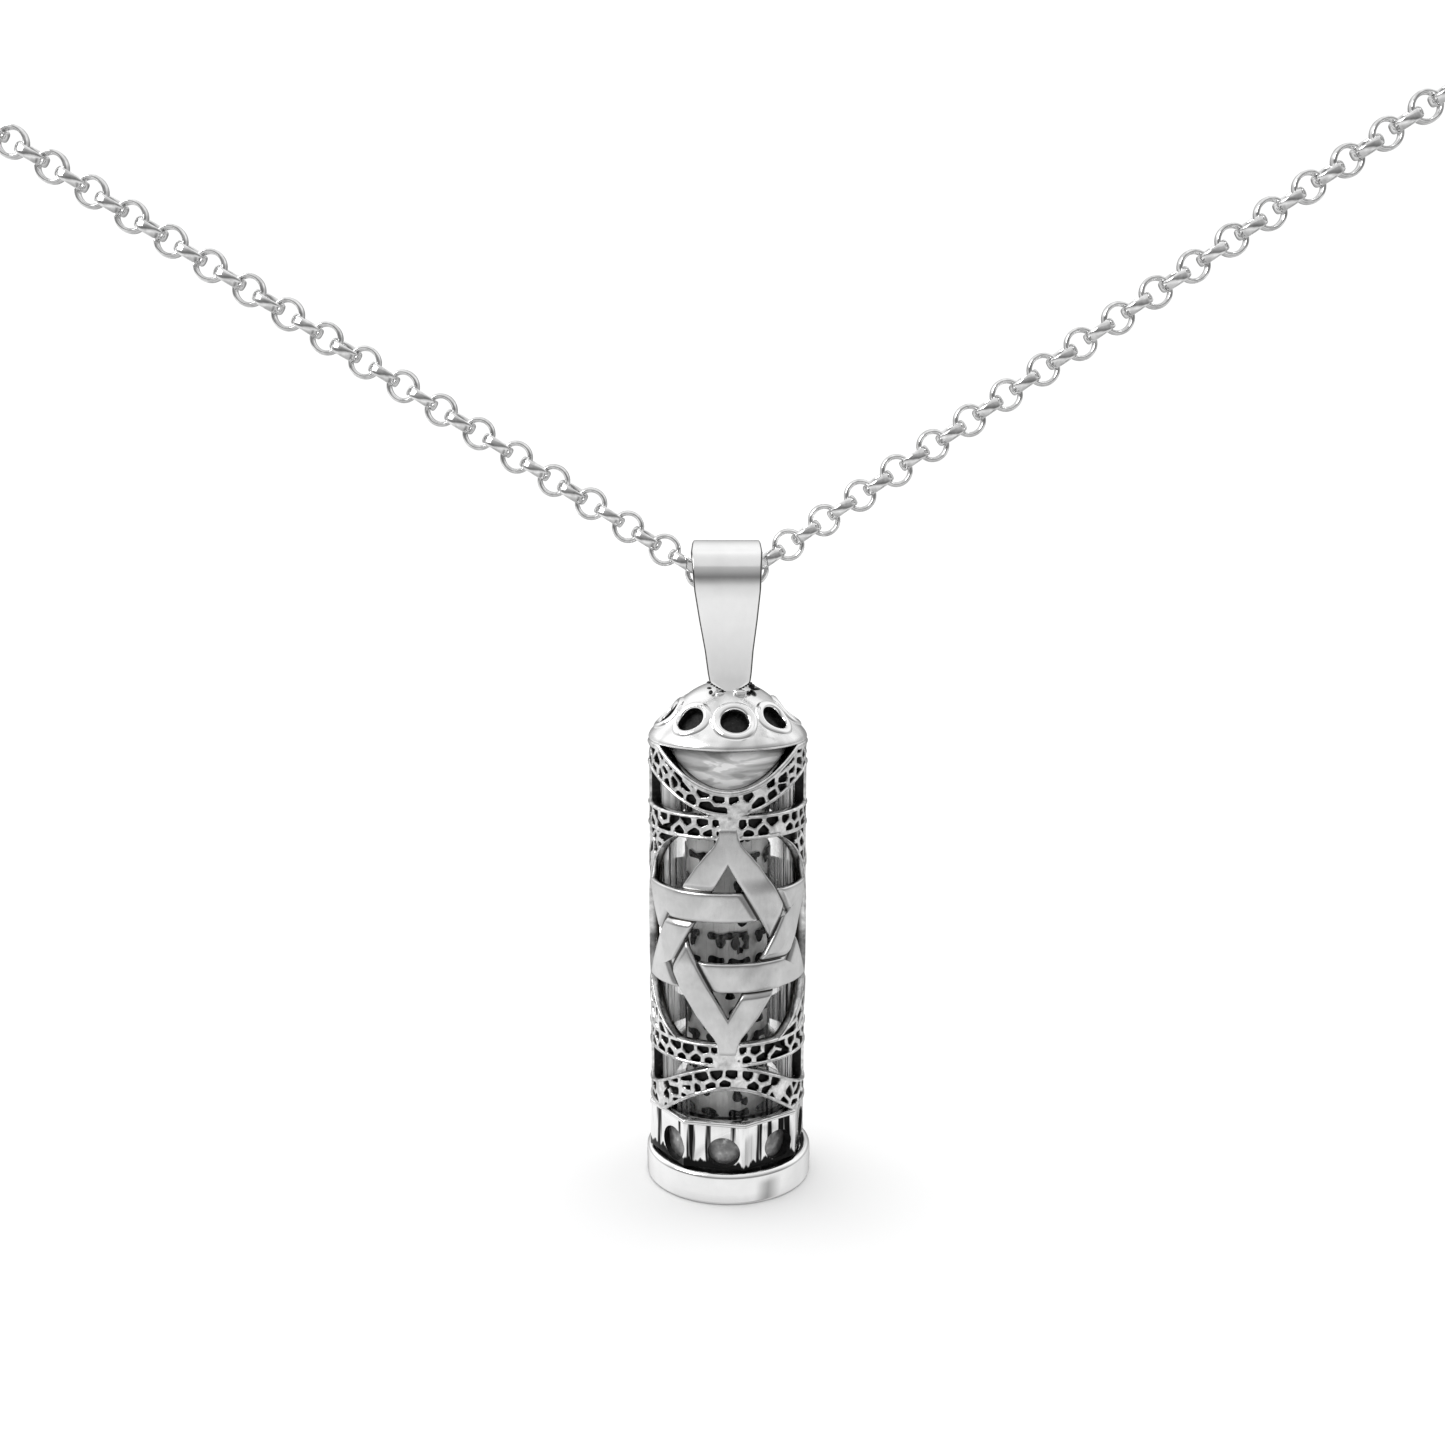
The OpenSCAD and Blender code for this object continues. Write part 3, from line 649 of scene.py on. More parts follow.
def swags_and_arches():
    s = np.linspace(-QUARTER, QUARTER, int(2 * QUARTER / STEP))
    foot, top = UPPER[1] - SWAG_SINK, LOWER[0] + SWAG_SINK
    near, far = SWAG_RISE * wave(s), SWAG_WIDTH + SWAG_WIDTH * wave(s)
    swag_low = np.stack([s, foot + near], -1)
    swag_high = np.stack([s, np.minimum(DOME_FOOT, foot + far)], -1)
    arch_high = np.stack([s, top - near], -1)
    arch_low = np.stack([s, np.maximum(COLLAR[1], top - far)], -1)
    join = joint_gap(s, [SWAG_JOIN])
    for k, side in ((0, "front"), (1, "back")):
        strip("swag_pitted_" + side, turned(swag_low, k), turned(swag_high, k),
              "swag_" + side, 11 + k, bead=(join, None), lip=(EDGE_LINE, 0.38))
        strip("arch_pitted_" + side, turned(arch_low, k), turned(arch_high, k),
              "arch_" + side, 17 + k, bead=(None, join), lip=(0.28, EDGE_LINE))


def window_frames():
    t = np.linspace(-HALF_WINDOW, HALF_WINDOW, int(2 * HALF_WINDOW / STEP))
    near, far = [np.minimum(QUARTER, np.sqrt(r ** 2 - t ** 2)) for r in (WINDOW_INNER, WINDOW_OUTER)]
    open_side = smooth(3.5, 3.8, np.abs(t))
    for k, side in ((0, "front"), (1, "back")):
        for hand, sign in (("left", -1), ("right", 1)):
            a = np.stack([sign * near, STAR + t], -1)
            b = np.stack([sign * far, STAR + t], -1)
            bead = (None, open_side)
            if sign < 0:
                a, b, bead = b, a, (open_side, None)
            strip(f"frame_pitted_{side}_{hand}", turned(a, k), turned(b, k),
                  "frame_" + side, 23 + 2 * k + (sign > 0), bead=bead)


# ---------- side posts ----------

POST_HALF_WIDTH = 0.5
POST_REACH = np.array([4.25, 4.78, 4.89, 4.945, 4.95, 4.945, 4.89, 4.78, 4.25])
POST_DARK = [1, 0, 0, 0, 0, 0, 0, 1, 1]
LENS_HEIGHT = 2.4
CORNER_START = 3.72


def post_levels():
    """Heights above the middle of the star and half widths of the posts: in the lens, in the corner."""
    foot = UPPER[1] - STAR
    lens = [(foot, POST_HALF_WIDTH), (foot + LENS_HEIGHT, POST_HALF_WIDTH)]
    t = np.linspace(CORNER_START, HALF_WINDOW, 14)
    room = QUARTER - np.sqrt(WINDOW_OUTER ** 2 - t * t) - 0.02
    corner = list(zip(t, np.minimum(POST_HALF_WIDTH, room)))
    return lens, corner


def post_points(side, up, levels):
    """One post, on the right or left (side 1 or -1), above or below the star (up 1 or -1)."""
    t, w = np.array(levels).T
    inset = np.minimum(0.1, w * 0.3)
    across = np.stack([-w, -w, -w + inset * 0.2, -w + inset, 0 * w,
                       w - inset, w - inset * 0.2, w, w], -1)
    s = side * QUARTER + across
    return wrap(s, STAR + up * t[:, None] + 0 * s, POST_REACH[None] + 0 * s)


def side_posts():
    """Blackened walls between the front and the back openings, rubbed bright along their outer edge."""
    blocks = [post_points(a, b, c) for a in (-1, 1) for b in (-1, 1) for c in post_levels()]
    points, faces = joined([(block, tube_faces(len(block), len(POST_REACH))) for block in blocks])
    index = []
    for block in blocks:
        index += POST_DARK * (len(block) - 1) + [1, 1]
    make_piece("side_walls", "side_posts", points, faces, [PITTED, BLACK], "case", "blackened", 40,
               {"patina_and_painted_shade": np.zeros(len(points))}, index)


# ---------- woven straps ----------

STRAP_WIDTH, BAR_EDGE, APEX, TIP_CUT = 1.85, 3.15, 8.6, 7.2
SLOPE = math.tan(math.radians(60))
INNER_APEX = APEX - 2 * STRAP_WIDTH
BAR_HALF = (APEX + BAR_EDGE) / SLOPE
INNER_HALF = (INNER_APEX + BAR_EDGE - STRAP_WIDTH) / SLOPE
MIDDLE_APEX = (APEX + INNER_APEX) / 2
MIDDLE_BAR = BAR_EDGE - STRAP_WIDTH / 2
OVER, UNDER = 0.06, -0.2
STRAP_OUT = 0.06
STRAP_STEPS = 280
STRAP_DEPTH = 0.24
STRAP_CROWN = 0.02
STRAP_RIM = [0, 0.012, 0.035, 0.07]
TIP_TAPER = ([3.4, 4.8, 5.5, 6.14, 6.6, 7.2], [1.0, 0.91, 0.79, 0.61, 0.55, 0.62])


def crossing(p, which):
    """Distance in the unrolled plane from the middle line of a strap of the other triangle."""
    if which == "bar":
        return np.abs(p[..., 1] - MIDDLE_BAR)
    x = p[..., 0] if which == "right" else -p[..., 0]
    return np.abs((p[..., 1] + MIDDLE_APEX) - SLOPE * x) / 2


def strap_rise(p, side):
    over, under = (("bar", "right"), ("right", "left"), ("left", "bar"))[side]
    up = 1 - smooth(0.7, 1.9, crossing(p, over))
    down = 1 - smooth(0.84, 1.4, crossing(p, under))
    return OVER * up + UNDER * down, crossing(p, under)


def strap_section():
    """Places across a strap from 0 to 1, and how far each stands out: crowned, with soft edges."""
    rim = np.array(STRAP_RIM)
    v = np.concatenate([rim, np.linspace(0.1, 0.9, 25), 1 - rim[::-1]])
    drop = np.interp(np.minimum(v, 1 - v), STRAP_RIM + [0.13, 0.5], [0.13, 0.065, 0.025, 0.006, 0, 0])
    return v, STRAP_CROWN * (1 - (2 * v - 1) ** 2) - drop


def strap_triangle(name, node, turn, k, seed):
    """One closed woven triangle, its apex up (turn 1) or down (turn -1), on the front or back."""
    outer = np.array([[0, APEX], [BAR_HALF, -BAR_EDGE], [-BAR_HALF, -BAR_EDGE]])
    inner = np.array([[0, INNER_APEX], [INNER_HALF, STRAP_WIDTH - BAR_EDGE],
                      [-INNER_HALF, STRAP_WIDTH - BAR_EDGE]])
    v, crown = strap_section()
    t = (np.arange(STRAP_STEPS) / STRAP_STEPS)[:, None]
    blocks, patina_and_painted_shade = [], []
    for side in range(3):
        a = inner[side] * (1 - t) + inner[(side + 1) % 3] * t
        b = outer[side] * (1 - t) + outer[(side + 1) % 3] * t
        b[:, 1] = np.minimum(b[:, 1], TIP_CUT)
        p = a[:, None] * (1 - v[None, :, None]) + b[:, None] * v[None, :, None]
        p[..., 0] *= np.interp(p[..., 1], *TIP_TAPER)
        rise, near = strap_rise(p, side)
        reach = RADIUS + rise + crown + STRAP_OUT + 0.006 * waviness(p[..., 0], p[..., 1], seed)
        s, h = turn * p[..., 0] + k * 2 * QUARTER, STAR + turn * p[..., 1]
        back = wrap(s[:, [-1, 0]], h[:, [-1, 0]], reach[:, [-1, 0]] - STRAP_DEPTH)
        blocks.append(np.concatenate([wrap(s, h, reach), back], axis=1))
        # Painted shade: a dark line on the under strap just beside the edge of the strap crossing over
        # it; the back faces are blackened patina.
        dark = (1 - smooth(0.02, 0.13, np.abs(near - 1.0))) * 0.85
        patina_and_painted_shade.append(np.concatenate([dark, np.ones((STRAP_STEPS, 2))], axis=1))
    points, patina_and_painted_shade = np.concatenate(blocks), np.concatenate(patina_and_painted_shade)
    faces = grid_faces(*points.shape[:2], True, True)
    make_piece(name, node, points, faces, [STRAP], "case", "strap_silver", 45, {"patina_and_painted_shade": patina_and_painted_shade})


def stars():
    for k, side in ((0, "front"), (1, "back")):
        strap_triangle("straps_up_" + side, "star_up_" + side, 1, k, 2 + k)
        strap_triangle("straps_down_" + side, "star_down_" + side, -1, k, 5 + k)


# ---------- dome ----------

DOME_OUTER = [[4.84, 28.76], [4.93, 28.83], [4.965, 28.93], [4.93, 29.06], [4.72, 29.38],
              [4.3, 29.76], [3.81, 30.2], [3.1, 31.0], [2.25, 31.7], [1.2, 32.2], [0.02, 32.35]]
DOME_INNER = [[0.02, 31.75], [1.1, 31.65], [2.0, 31.26], [2.8, 30.7], [3.4, 30.05],
              [4.1, 29.35], [4.4, 29.0], [4.45, 28.8]]
DOME_STEPS = 360
HOLE_TURN = math.radians(6.5)
HOLE_AT = (3.6, 30.33)
HOLE_PITCH = math.pi / 4
HOLE_CUT = 1.02
RIM_BORE = 0.86
RIM_STEPS = 72
RIM_SECTION = np.array([[0.86, -0.5], [0.84, -0.25], [0.835, -0.05], [0.85, 0.06], [0.89, 0.13],
                        [0.96, 0.18], [1.05, 0.2], [1.14, 0.185], [1.22, 0.135], [1.29, 0.05],
                        [1.34, -0.06], [1.36, -0.2], [1.1, -0.4]])
RIM_DARK = [0, 1, 10, 11, 12]
FRONT_RIM, OTHER_RIMS = (1.34, 1.15), (1.08, 0.8)


def outward(curve):
    """Unit normals of a profile curve in its (radius, height) plane, away from the axis."""
    d = directions(curve)
    return np.stack([d[:, 1], -d[:, 0]], -1)


def dome():
    """The cap with its holes cut out. Returns its outer curve and how far along it the holes are."""
    curve = spline(DOME_OUTER, 110)
    points, faces = revolved(curve, DOME_STEPS)
    reach = lengths(curve)
    hole_reach = reach[np.linalg.norm(curve - HOLE_AT, axis=1).argmin()]
    turn = (circle(DOME_STEPS) - HOLE_TURN + HOLE_PITCH / 2) % HOLE_PITCH - HOLE_PITCH / 2
    x = turn[:, None] * curve[None, :, 0]
    solid = ~(np.hypot(x, reach - hole_reach) < HOLE_CUT).ravel()[faces].all(1)
    inner_points, inner_faces = revolved(DOME_INNER, DOME_STEPS)
    n, m = len(curve), len(DOME_INNER)
    count = DOME_STEPS * n
    i = np.arange(DOME_STEPS)
    j = (i + 1) % DOME_STEPS
    lip = np.stack([i * n, count + i * m + m - 1, count + j * m + m - 1, j * n], -1)
    shell = np.concatenate([points.reshape(-1, 3), inner_points.reshape(-1, 3)])
    all_faces = np.concatenate([faces[solid], inner_faces + count, lip])
    seam = np.tile(np.arange(n - 1) < 1, DOME_STEPS)[solid]
    index = np.r_[seam, np.ones(len(inner_faces)), np.ones(len(lip))]
    make_piece("dome_cap", "dome", shell, all_faces, [DOME, BLACK], "case", "silver", 60, None, index)
    return curve, reach, hole_reach


def dome_rims(curve, reach, hole_reach):
    """Eight raised rims that follow the dome and roll over into its holes."""
    normal = outward(curve)
    turns = circle(RIM_STEPS)
    count = len(RIM_SECTION)
    quads = grid_faces(RIM_STEPS, count, True, True)
    parts = []
    for k in range(8):
        broad, tall = OTHER_RIMS if k else FRONT_RIM
        ring = RIM_BORE + (RIM_SECTION[:, 0] - RIM_BORE) * broad
        out = np.outer(np.cos(turns), ring)
        up = np.outer(np.sin(turns), ring)
        along = np.clip(hole_reach + up, 0.02, reach[-1])
        r, h, nr, nh = (np.interp(along, reach, line) for line in (*curve.T, *normal.T))
        near = np.maximum(np.interp(hole_reach + 0.75 * up, reach, curve[:, 0]), 1.5)
        lift = RIM_SECTION[:, 1] * np.where(RIM_SECTION[:, 1] > 0, tall, 1)
        angle = HOLE_TURN + k * HOLE_PITCH + out / near
        parts.append((polar(r + nr * lift, angle, h + nh * lift), quads))
    index = np.tile(np.isin(np.arange(count), RIM_DARK).astype(int), RIM_STEPS * 8)
    make_piece("dome_rims", "dome_hole_rims", *joined(parts), [RIM, BLACK], "case", "silver", 60,
               None, index)


# ---------- bail ----------

BAIL_THICK = 0.45
BAIL_OUTLINE = np.array([[-7.2, 0.08], [-7.1, 0.16], [-6.8, 0.66], [-6.5, 1.14], [-6.4, 1.25],
                         [-6.25, 1.29], [-5.8, 1.36], [-4.45, 1.5], [-2.6, 1.78], [-0.75, 2.02],
                         [0.7, 2.11], [1.4, 2.17], [1.85, 2.1], [2.08, 1.96], [2.15, 1.86]])
BAIL_SLOPE = ([-7.15, -6.3, -5, -3, -1.3, -0.6, 0], [1.5, 1.5, 3, 6, 8, 5, 0])
BAIL_CORNER = 0.15
BAIL_TIP = 0.12
BAIL_LEAN = 0.0263
LEAN_FROM = -1.6


def lean(z):
    """How far the bail is to the right of the middle at a height: it leans a little."""
    return -BAIL_LEAN * (z - LEAN_FROM)


def bail_path():
    """The strip's middle line, from its tip on the front of the dome over the loop to the back."""
    reach, rise = BAIL_REACH - BAIL_THICK / 2, BAIL_RADIUS - BAIL_THICK / 2
    z = np.linspace(0, BAIL_SLOPE[0][0], 160)
    slope = np.tan(np.radians(np.interp(z, *BAIL_SLOPE)))
    inward = np.r_[0, np.cumsum((slope[1:] + slope[:-1]) / 2 * -np.diff(z))]
    leg = np.stack([inward - reach, z], -1)[::-1]
    turn = np.linspace(math.pi, 0, 110)[1:-1]
    loop = np.stack([reach * np.cos(turn), rise * np.sin(turn)], -1)
    return np.concatenate([leg, loop, (leg * (-1, 1))[::-1]])


def rounded_section(half_width, half_thick, corner):
    """A closed rounded rectangle, first axis across the strip, second out of it."""
    points = []
    steps = np.linspace(0, math.pi / 2, 7)
    for cx, cy, start in ((1, 1, 0), (-1, 1, 1), (-1, -1, 2), (1, -1, 3)):
        for a in steps + start * math.pi / 2:
            points.append((cx * (half_width - corner) + corner * math.cos(a),
                           cy * (half_thick - corner) + corner * math.sin(a)))
    extra = np.linspace(half_width - corner, corner - half_width, 12)[1:-1]
    top = [(x, half_thick) for x in extra]
    bottom = [(-x, -half_thick) for x in extra]
    return np.array(points[:7] + top + points[7:21] + bottom + points[21:])


def bail():
    """The folded strip, with rounded edges, a painted shade line just inside them and feet that thin to
    a tip.
    """
    path = bail_path()
    reach = lengths(path)
    tangent = directions(path)
    normal = np.stack([-tangent[:, 1], tangent[:, 0]], -1)
    rows, patina_and_painted_shade = [], []
    for (y, z), (ny, nz), d in zip(path, normal, np.minimum(reach, reach[-1] - reach)):
        half = np.interp(z, *BAIL_OUTLINE.T)
        thick = np.interp(d, [0, 0.8], [BAIL_TIP, BAIL_THICK / 2])
        section = rounded_section(half, thick, min(BAIL_CORNER, thick * 0.9))
        out = section[:, 1] + BAIL_THICK / 2 - thick
        rows.append(np.stack([section[:, 0] + lean(z), y + ny * out, z + nz * out], -1))
        off = np.abs(section[:, 0])
        # Painted shade: a dark line just inside each edge of the strip, bright again at the very edge.
        patina_and_painted_shade.append(0.8 * smooth(half - 0.14, half - 0.06, off)
                    * (1 - 0.9 * smooth(half - 0.03, half - 0.005, off)))
    points = np.array(rows)
    faces = tube_faces(*points.shape[:2])
    make_piece("bail_strip", "bail", points, faces, [BAIL], "case", "silver", 60, {"patina_and_painted_shade": patina_and_painted_shade})


# ---------- solder ----------

LUMP_ROWS, LUMP_COLUMNS = 22, 40
DOME_TOP = DOME_OUTER[-1][1] - HANG
SMOOTH_LUMP, ROUGH_LUMP = 0.03, 0.12
# Each drop: its middle, up from the top of the dome; its half sizes; a seed; how uneven it is.
BRIGHT_DROPS = [((0.1, 0, -0.26), (1.3, 1.0, 0.36), 1, ROUGH_LUMP),
                ((0.72, -1.93, -0.46), (0.42, 0.26, 0.2), 4, SMOOTH_LUMP),
                ((-0.5, -1.95, -0.52), (0.3, 0.2, 0.12), 6, SMOOTH_LUMP)]
# Black drops: painted shadow in the crevices round the foot of the bail.
DARK_DROPS = [((-1.14, -1.5, -0.24), (0.15, 0.2, 0.07), 2, SMOOTH_LUMP),
              ((1.46, -1.35, -0.14), (0.2, 0.26, 0.16), 3, SMOOTH_LUMP),
              ((1.7, -1.2, -0.34), (0.3, 0.26, 0.08), 5, SMOOTH_LUMP),
              ((0.0, 1.5, -0.3), (1.3, 0.4, 0.14), 7, ROUGH_LUMP)]


def lump(centre, size, seed, rough):
    """A small rounded drop of solder with an uneven surface."""
    u = np.linspace(0.02, math.pi - 0.02, LUMP_ROWS)
    u, v = np.meshgrid(u, circle(LUMP_COLUMNS), indexing="ij")
    way = np.stack([np.sin(u) * np.cos(v), np.sin(u) * np.sin(v), np.cos(u)], -1)
    wobble = 1 + rough * waviness(way[..., 0] * 2.2, way[..., 1] * 2.2 + way[..., 2], seed)
    points = np.array(centre) + way * wobble[..., None] * np.array(size)
    faces = tube_faces(LUMP_ROWS, LUMP_COLUMNS)
    faces[-2:] = [face[::-1] for face in faces[-2:]]
    return points.reshape(-1, 3), faces


def tip_line():
    """Small dark drops along both sides of the pointed foot of the bail: painted shadow of the crevice
    along its edges.
    """
    drops = []
    for t in np.linspace(0, 1, 9):
        for side in (-1, 1):
            z = -6.42 - 0.72 * t
            x = side * 1.27 * (1 - t) + lean(z)
            drops.append(((x, -1.66 - 0.14 * t, z - 0.02), (0.1, 0.1, 0.05), 9 + side, SMOOTH_LUMP))
    return drops


def solder():
    """The joint at the foot of the bail: a low bead, bright drops and black drops round the tip that
    paint the shadow of its crevices.
    """
    groups = [[((x, y, DOME_TOP + z), *rest) for (x, y, z), *rest in drops]
              for drops in (BRIGHT_DROPS, DARK_DROPS)]
    groups[1] += tip_line()
    lumps = [[lump(*drop) for drop in group] for group in groups]
    index = [material for material, group in enumerate(lumps) for _, faces in group for _ in faces]
    make_piece("solder_bead", "bail_solder", *joined(lumps[0] + lumps[1]), [DOME, BLACK], "case",
               "silver", 80, None, index)


# ---------- collar, base ----------

def helper_tube(radius, low, high, sides, turn=0.0):
    """An upright prism, only for cutting and for being cut."""
    a = circle(sides) + turn
    ring = np.stack([radius * np.sin(a), -radius * np.cos(a)], -1)
    points = [(x, y, h) for h in (low, high) for x, y in ring]
    faces = [tuple(range(sides - 1, -1, -1)), tuple(range(sides, 2 * sides))]
    faces += [(i, (i + 1) % sides, sides + (i + 1) % sides, sides + i) for i in range(sides)]
    mesh = bpy.data.meshes.new("helper")
    mesh.from_pydata([tuple(c * MM for c in p) for p in points], [], faces)
    piece = bpy.data.objects.new("helper", mesh)
    bpy.context.scene.collection.objects.link(piece)
    return piece


def cut_away(piece, cutter):
    modifier = piece.modifiers.new("cut", "BOOLEAN")
    modifier.operation = "DIFFERENCE"
    modifier.solver = "EXACT"
    modifier.object = cutter


def applied_mesh(piece, name):
    bpy.context.view_layer.update()
    solved = piece.evaluated_get(bpy.context.evaluated_depsgraph_get())
    made = bpy.data.meshes.new_from_object(solved)
    made.name = name
    return made


COLLAR_TURN = math.radians(12)
COLLAR_RADIUS, COLLAR_BORE = 5.1, 4.32
COLLAR_EDGE = 0.09
HOLE_RADIUS, HOLE_HEIGHT, FIRST_HOLE, HOLE_WIDTH = 0.96, 3.25, -3, 1.07
LARGE_HOLE = 7
LIP_STEPS, LIP_ROUND = 384, 16


def hole_drill(k):
    """A drill for one hole of the collar. The hole left of the middle is larger than the others."""
    size, nudge = (1.12, 2.5) if k == LARGE_HOLE else (1.0, 0)
    drill = helper_tube(HOLE_RADIUS * size, -1.2, 1.2, 40)
    level = Matrix.Rotation(math.radians(90), 4, "X") @ Matrix.Diagonal((HOLE_WIDTH, 1, 1, 1))
    drill.data.transform(level)
    drill.data.transform(Matrix.Translation((0, -4.7 * MM, (HOLE_HEIGHT - HANG) * MM)))
    drill.data.transform(Matrix.Rotation(math.radians(FIRST_HOLE + nudge + 45 * k), 4, "Z"))
    return drill


def collar():
    """Eight flat sides with a round bore and eight round holes."""
    low, high = COLLAR[0] - HANG, COLLAR[1] - HANG
    body = helper_tube(COLLAR_RADIUS, low, high, 8, COLLAR_TURN)
    cutters = [helper_tube(COLLAR_BORE, low - 1, high + 1, 96)]
    cutters += [hole_drill(k) for k in range(8)]
    for cutter in cutters:
        cut_away(body, cutter)
    bevel = body.modifiers.new("edge", "BEVEL")
    bevel.width = COLLAR_EDGE * MM
    bevel.segments = 3
    bevel.limit_method = "ANGLE"
    bevel.angle_limit = math.radians(30)
    mesh = applied_mesh(body, "collar_ring")
    for extra in cutters + [body]:
        bpy.data.objects.remove(extra)
    mesh.materials.clear()
    for material in (COLLAR_SILVER, BLACK, RIM):
        mesh.materials.append(material)
    for face in mesh.polygons:
        c, n = face.center / MM, face.normal
        out = (c.x * n.x + c.y * n.y) / max(math.hypot(c.x, c.y), 1e-6)
        lip = c.z + HANG > COLLAR[1] - 0.16 and out > -0.5
        face.material_index = 2 if lip else (0 if out > 0.75 else 1)
    mesh.shade_smooth()
    mesh.set_sharp_from_angle(angle=math.radians(28))
    ride("collar_ring", mesh, "collar", "case")


def collar_lip():
    """The polished roll along the top edge of the collar."""
    a = circle(LIP_STEPS)
    b = circle(LIP_ROUND)
    part = (a - COLLAR_TURN) % (math.pi / 4) - math.pi / 8
    flat = COLLAR_RADIUS * math.cos(math.pi / 8) / np.cos(part) - 0.14
    r = flat[:, None] + 0.19 * np.cos(b)
    points = polar(r, a[:, None], COLLAR[1] - 0.15 + 0.18 * np.sin(b))
    faces = grid_faces(LIP_STEPS, LIP_ROUND, True, True)
    make_piece("collar_lip", "collar", points, faces, [RIM], "case", "silver", 80)


def arc(cx, cy, radius, start, end, count):
    a = np.radians(np.linspace(start, end, count))
    return [(cx + radius * math.cos(t), cy + radius * math.sin(t)) for t in a]


BASE_SHIFT = 0.06
SEAT_PROFILE = [(0.02, 0.92), (4.62, 0.92), (4.66, 1.35), (4.6, 2.08), (4.5, 2.13), (4.28, 2.14),
                (4.28, 4.25), (4.24, 4.3), (3.97, 4.3), (3.95, 4.25), (3.95, 1.62), (3.4, 1.62),
                (3.4, 3.15), (3.35, 3.2), (0.02, 3.2)]
SEAT_BRIGHT = [5, 6]
SEAT_STEPS = 192


def base():
    """The round base, and the plug above it that fits the collar and holds the vial."""
    r, rim = BASE_RADIUS, BASE_RIM
    profile = [(0.02, 0.0)] + arc(r - 0.2, 0.2, 0.2, -90, -2, 8) + [(r, 0.7), (r + 0.012, 1.1)]
    profile += arc(r - 0.3, rim - 0.3, 0.3, 0, 180, 22)
    profile += [(r - 0.6, 1.2), (r - 0.62, 0.9), (0.02, 0.9)]
    points, faces = revolved(profile, 256)
    points[..., 0] += BASE_SHIFT
    make_piece("base_ring", "base_cap", points, faces, [SILVER], "base", "silver", 50)
    points, faces = revolved(SEAT_PROFILE, SEAT_STEPS)
    bright = np.isin(np.arange(len(SEAT_PROFILE) - 1), SEAT_BRIGHT).astype(int)
    make_piece("base_plug", "base_seat", points, faces, [BLACK, SEAT], "base", "blackened", 40,
               None, np.tile(bright, SEAT_STEPS))


# ---------- vial and scroll ----------

VIAL_WALL, VIAL_CORNER, VIAL_FOOT = 0.45, 1.0, 3.9
SCROLL_STEPS = 420
SCROLL_TURNS, SCROLL_START, SCROLL_PITCH = 3.1, math.radians(110), 0.55
SHEET_THICK, SHEET_EDGE = 0.11, 0.02
INK_LIFT = 0.022
ROW_TOP, ROW_PITCH, ROW_GAP = 1.34, 1.68, 0.6


def vial():
    """A clear tube with a closed round end and a narrower foot."""
    low, high = VIAL
    taper_start, taper_end = VIAL_TAPER
    r, wall, corner, foot = VIAL_RADIUS, VIAL_WALL, VIAL_CORNER, VIAL_FOOT
    outer = [(foot, low), (foot, taper_start), (r, taper_end)]
    outer += [(r, h) for h in np.linspace(5.3, high - corner - 0.4, 12)]
    outer += arc(r - corner, high - corner, corner, 0, 88, 16) + [(1.2, high), (0.02, high)]
    inner = [(0.02, high - wall), (1.2, high - wall)]
    inner += arc(r - corner, high - corner, corner - wall, 88, 0, 12)
    inner += [(r - wall, h) for h in np.linspace(high - corner - 0.4, 4.9, 12)]
    inner += [(foot - wall, taper_start), (foot - wall, low)]
    points, faces = revolved(outer + inner, 192, True)
    make_piece("vial_tube", "vial", points, faces, [CLEAR], "vial", "clear", 60)


def scroll():
    """A thin sheet rolled up a little over three turns, its free edge standing slightly off."""
    low, high = SCROLL
    u = np.linspace(0, 1, SCROLL_STEPS)
    a = SCROLL_START + u * SCROLL_TURNS * 2 * math.pi
    r = SCROLL_RADIUS - SCROLL_PITCH * u
    levels = [(low, SHEET_EDGE), (low + 0.06, 0), ((low + high) / 2, 0), (high - 0.06, 0),
              (high, SHEET_EDGE), (high, SHEET_THICK), (low, SHEET_THICK)]
    points = np.stack([polar(r - inset, a, h) for h, inset in levels], 1)
    faces = tube_faces(*points.shape[:2])
    make_piece("scroll_sheet", "scroll", points, faces, [PARCHMENT], "vial", "parchment", 50)


def stroke(path, width, rng):
    """A flat ribbon of ink along a path in the unrolled plane, its edges uneven."""
    path = np.asarray(path, float)
    line = spline(path, max(int(lengths(path)[-1] / 0.05), 6))
    d = directions(line)
    across = np.stack([-d[:, 1], d[:, 0]], -1)
    t = np.linspace(0, 1, len(line))
    body = np.sqrt(np.clip(1 - (2 * t - 1) ** 8, 0.05, 1))
    wide = width * body * (1 + 0.25 * np.sin(7 * t + rng.uniform(0, 6)))
    rows = [line + across * (k * wide / 2)[:, None] for k in (-1, -0.4, 0.4, 1)]
    return np.stack(rows, 1)


def mark_paths(s, h, bar, rng):
    """One mark: a level bar with stems that hang from it, sometimes with a second bar below."""
    drop = rng.uniform(0.6, 1.0)
    tilt = rng.uniform(-0.08, 0.08)
    paths = [[(s, h), (s + bar * 0.5, h + tilt), (s + bar, h + 0.04)]]
    for _ in range(rng.integers(1, 4)):
        x = s + bar * rng.uniform(0.05, 1.0)
        paths.append([(x, h), (x + rng.uniform(-0.12, 0.12), h - drop / 2),
                      (x + rng.uniform(-0.15, 0.1), h - drop)])
    if rng.random() < 0.4:
        paths.append([(s + bar * 0.3, h - drop), (s + bar * 0.7, h - drop - 0.03)])
    return paths


